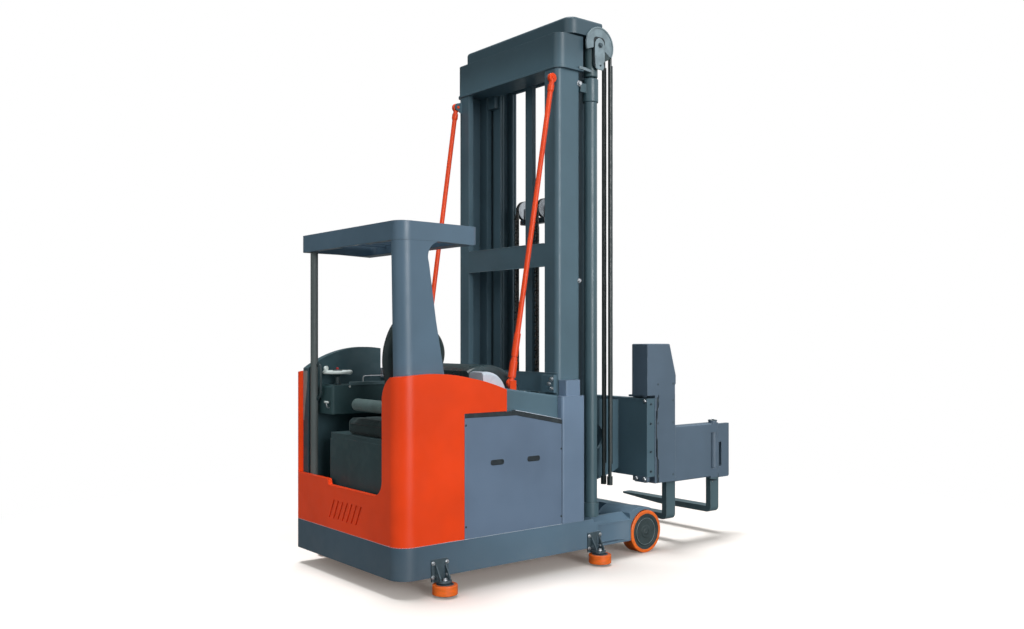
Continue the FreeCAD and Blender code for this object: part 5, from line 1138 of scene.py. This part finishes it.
lip = [(1452, 3320), (1505, 3318), (1564, 3313), (1564, 3329), (1505, 3338), (1452, 3339)]
build("crown_lip", "chassis", cast_grey, [plate(lip, "XZ", -597, -587, 1.5)])
clamp_nuts = hex_screw(at(1481, -561, 3232), RIGHT, 27)
clamp_nuts += row(hex_screw, [(1481, -561, 900), (1481, -561, 1900)], RIGHT, 22)
build("cylinder_nuts", "chassis", zinc_steel, other_side(clamp_nuts))

# %% [markdown]
# ## Hoses and chains
# Each hose wears a braided sleeve along its straight runs, whose radius wavers a little. A leaf
# chain is rows of plates on pins: two outer plates, then two inner ones, one pitch further. One
# outline serves all plates: four of a circle's eight points moved up half a pitch, and four down.

# %% Hose sleeves
HOSE_TOP = 3440
HOSE_RUNS = {1882: 620, 1677: 560}
steps = 48
hose_skins = []
for y in (-455.5, -392.5):
    for x, foot in HOSE_RUNS.items():
        line = np.stack([at(x, y, z) for z in np.linspace(foot, HOSE_TOP, steps)])
        hose_skins.append(swept(line, 15.6 + 0.35 * np.sin(np.arange(steps) * 1.3), 16))
build("hose_sleeves", "middle_mast", hose_braid, hose_skins)

# %% Leaf chains
OUTER_PLATES, INNER_PLATES = ((-14.6, -11.9), (12.1, 14.8)), ((-11.7, -9.2), (9.4, 11.9))
PIN = [(2.6, 0), (3.2, 0.5), (3.2, 30.8), (2.6, 31.4)]


def chain_fall(x, y, low, high, pitch=25.4):
    """Plates and pins of one straight fall: outer and inner pairs of plates by turns, a pin for each."""
    lobe = arc(0, 0, 7.4, circle_angles(8) + np.pi / 8)
    above, below = (0, pitch / 2), (0, -pitch / 2)
    link = np.concatenate([lobe[:3] + above, lobe[3:7] + below, lobe[7:] + above])
    skins = []
    for k, z in enumerate(np.arange(low + pitch, high - pitch, pitch)):
        for near, far in INNER_PLATES if k % 2 else OUTER_PLATES:
            ring = np.array([at(x + p, y + near, z + q) for p, q in link])
            skins.append(loft([ring, ring + (0, (far - near) / 1000, 0)]))
        skins.append(turned(at(x, y - 15.6, z + pitch / 2), LEFT, PIN, 8))
    return skins


falls = []
for y in (-50, 174):
    for dx, foot in ((67.3, 1010), (-67.3, 420)):
        falls += chain_fall(1602 + dx, y, foot, 2450)
build("leaf_links", "free_lift", chain_steel, falls)

# %% [markdown]
# ## Stays and mast bolts
# The two long stays between the deck and the mast's top are tubes with forged eyes. Behind each lower
# eye a lock nut holds the adjusting thread. The lower cross beam of the outer mast is screwed
# through its end plates, and weld beads run along the edges of the beams.

# %% Stays, screws and welds
low_eye, high_eye = at(930, -510, 1222), at(1252, -545, 3235)
along = (high_eye - low_eye) / np.linalg.norm(high_eye - low_eye)


def on_stay(from_low, profile, sides):
    """A turned part on the stay: metres from the lower eye, or from the upper one if negative."""
    start = low_eye + along * from_low if from_low > 0 else high_eye + along * from_low
    return turned(start, along, profile, sides)


collars = [on_stay(0.046, [(17, 0), (26, 1.5), (26, 20), (24, 22), (17, 22)], 6),
           on_stay(0.074, [(17, 0), (22, 4), (22, 44), (18.5, 52), (17, 52)], 24),
           on_stay(-0.096, [(17, 0), (18.5, 2), (22, 12), (22, 46), (17, 50)], 24)]
build("stay_collars", "chassis", stay_orange, other_side(collars))
lock_nut = on_stay(0.069, [(17, 0), (23.5, 0.8), (23.5, 4.4), (17, 5)], 28)
build("stay_lock_nuts", "chassis", zinc_steel, other_side([lock_nut]))
foot_screws = row(hex_screw, [(1260, -530, 1176), (1260, -530, 1240), (1260, -506, 1208)], BACK, 22)
build("mast_foot_screws", "chassis", zinc_steel, other_side(foot_screws))
welds = [bead(at(1284.5, -428, z), at(1284.5, 428, z), 2.6) for z in (1150, 1280, 1995, 2150)]
welds += [bead(at(1285.5, -561.5, z), at(1285.5, -434, z), 2.4) for z in (1149, 1281)]
build("beam_welds", "chassis", mast_slate, welds)

# %% [markdown]
# ## Head
# The head slides sideways on the carriage's frame and swings its forks about an upright pin. Sunk
# screws hold the right-hand end of the frame, and bright domed stops close the ends of its lower
# beam, with one more higher up on the right. Caps close the swing pin above and below, each with a
# grease nipple in its middle, and three screws hold the upper cap.

# %% Frame screws, stops, pin caps and nipples
frame_screws = row(socket_screw, [(2130, -611, z) for z in (560, 700, 900, 1040)], RIGHT, 16)
build("traverse_screws", "carriage", bracket_iron, frame_screws)


def domed_cap(place, out, radius):
    """Bright domed screw on a dark washer: a lathe profile that rounds over to the axis."""
    dome = [(radius * math.cos(a), 4 + 0.62 * radius * math.sin(a)) for a in np.linspace(0, 1.45, 8)]
    washer = [(4, -1), (radius * 1.3, -1), (radius * 1.34, 1.2), (radius * 1.3, 3.6), (4, 3.6)]
    cap = [(radius * 0.9, 1.0)] + dome + [(0.4, 4 + 0.63 * radius)]
    return turned(place, out, cap, 28), turned(place, out, washer, 28)


STOP_X, STOP_Z = 2091, 503
spots = [(y, STOP_Z, 17) for y in (-508, -588, 508, 588)] + [(-590, 1062, 13)]
bright, dark = zip(*[domed_cap(at(STOP_X, y, z), BACK, radius) for y, z, radius in spots])
build("frame_stop_caps", "carriage", zinc_steel, list(bright))
build("frame_stop_washers", "carriage", bracket_iron, list(dark))
foot = [plate(rounded(-609, -484, 480, 528, 12), "YZ", STOP_X + 0.5, 2120, 2)]
build("frame_stop_brackets", "carriage", head_slate, other_side(foot))

PIN_X, PIN_Y = 2858, -571
PIN_ENDS = ((881.5, 1), (430.5, -1))
lid = [(8, 0), (36, 0), (36, 3), (33, 5), (12, 5.6), (0.5, 5.8)]
pin_parts = [turned(at(PIN_X, PIN_Y, z), (0, 0, out), lid, 40) for z, out in PIN_ENDS]
for a in (0.4, 2.5, 4.6):
    place = at(PIN_X + 23 * math.cos(a), PIN_Y + 23 * math.sin(a), PIN_ENDS[0][0] + 5.1)
    pin_parts += socket_screw(place, UP, 9)
build("swing_pin_caps", "fork_swing", bracket_iron, pin_parts)
nipple = [(3, 0), (5, 0.4), (5, 4), (2.6, 5), (2.6, 8), (4, 10), (3.4, 12.4), (0.5, 13)]
nipples = [turned(at(PIN_X, PIN_Y, z + 5.1 * out), (0, 0, out), nipple, 16) for z, out in PIN_ENDS]
build("grease_nipples", "fork_swing", zinc_steel, nipples)

# %% [markdown]
# The arm is a welded box: a bead runs down the corner where it meets the upright post, and the post's
# cover is screwed on with flat-headed screws. The fork shanks hang on the swing frame, and each
# carries a small bright stop.

# %% Arm welds, post screws and stops
arm_welds = [bead(at(x, y, 470), at(x, y, 862), 2.8) for x, y in ((2387, -612.5), (2386.5, -528))]
build("arm_welds", "head", head_slate, arm_welds)
flat_head = [(8.5, -0.5), (8.5, 0.8), (7.2, 1.6), (3.4, 1.6), (3.2, 0.4), (0.5, 0.3)]
cover_screws = [turned(at(x, -613.4, z), RIGHT, flat_head, 22)
                for x in (2205, 2365) for z in (520, 900, 1060, 1180)]
build("post_screws", "head", bracket_iron, cover_screws)
seam_line = [(2189, 1086), (2189, 940), (2181, 915), (2181, 800), (2189, 780), (2189, 474)]
seam = seam_line + [(x + 11, z) for x, z in seam_line[::-1]]
build("post_seam", "head", seal_rubber, [plate(seam, "XZ", -614.6, -612, 0.4)])
stop = [(5, -6), (9, -5), (9, 9), (6, 12), (0.5, 12.4)]
stops = [turned(at(x, -468, 845), UP, stop, 20) for x in (2477, 2980)]
build("fork_stops", "fork_swing", zinc_steel, stops)

# %% [markdown]
# ## Floor
# The truck stands on a plain pale floor. Close to the truck the floor takes its shadow, which a
# little glow keeps pale and warm; a few metres out it fades into the white of the backdrop, so no
# horizon shows. To every other ray the floor is grey, so that it doesn't light the truck from below.

# %% Floor
HALF = 60.0
FADE_FROM, FADE_TO = 2.2, 4.6
GREY, BLACK, GLOW = (0.16, 0.17, 0.17, 1), (0, 0, 0, 1), (0.10, 0.078, 0.066, 1)
square = bpy.data.meshes.new("pale_floor")
corners = [(-HALF, -HALF, 0), (HALF, -HALF, 0), (HALF, HALF, 0), (-HALF, HALF, 0)]
square.from_pydata(corners, [], [(0, 1, 2, 3)])
floor = shown("pale_floor", square)
ground = Finish("floor_paint", (0.90, 0.90, 0.89, 1), 0.9)
lumps = ground.patches(3, 3.0, 0.3, 0.7)
warm = ground.tint(lumps, (0.93, 0.89, 0.86, 1), (0.95, 0.91, 0.88, 1))
seen = ground.new("LightPath", out="Is Camera Ray")
ground.done(ground.tint(seen, GREY, warm))
ground.link(ground.tint(seen, BLACK, GLOW), "Emission Color")
ground.uniform({"Specular IOR Level": 0.0, "Emission Strength": 1.0})
reach = ground.new("VectorMath", {0: ground.where}, "Value", operation="LENGTH")
faded = ground.sum("MULTIPLY", ground.span(reach, FADE_FROM, FADE_TO), seen)
white = ground.new("Emission", {"Color": WHITE})
blend = ground.new("MixShader", {"Fac": faded, 1: ground.shader.outputs[0], 2: white})
ground.tree.links.new(blend, ground.tree.nodes["Material Output"].inputs["Surface"])
square.materials.append(ground.material)
print("floor reaches", HALF, "m")
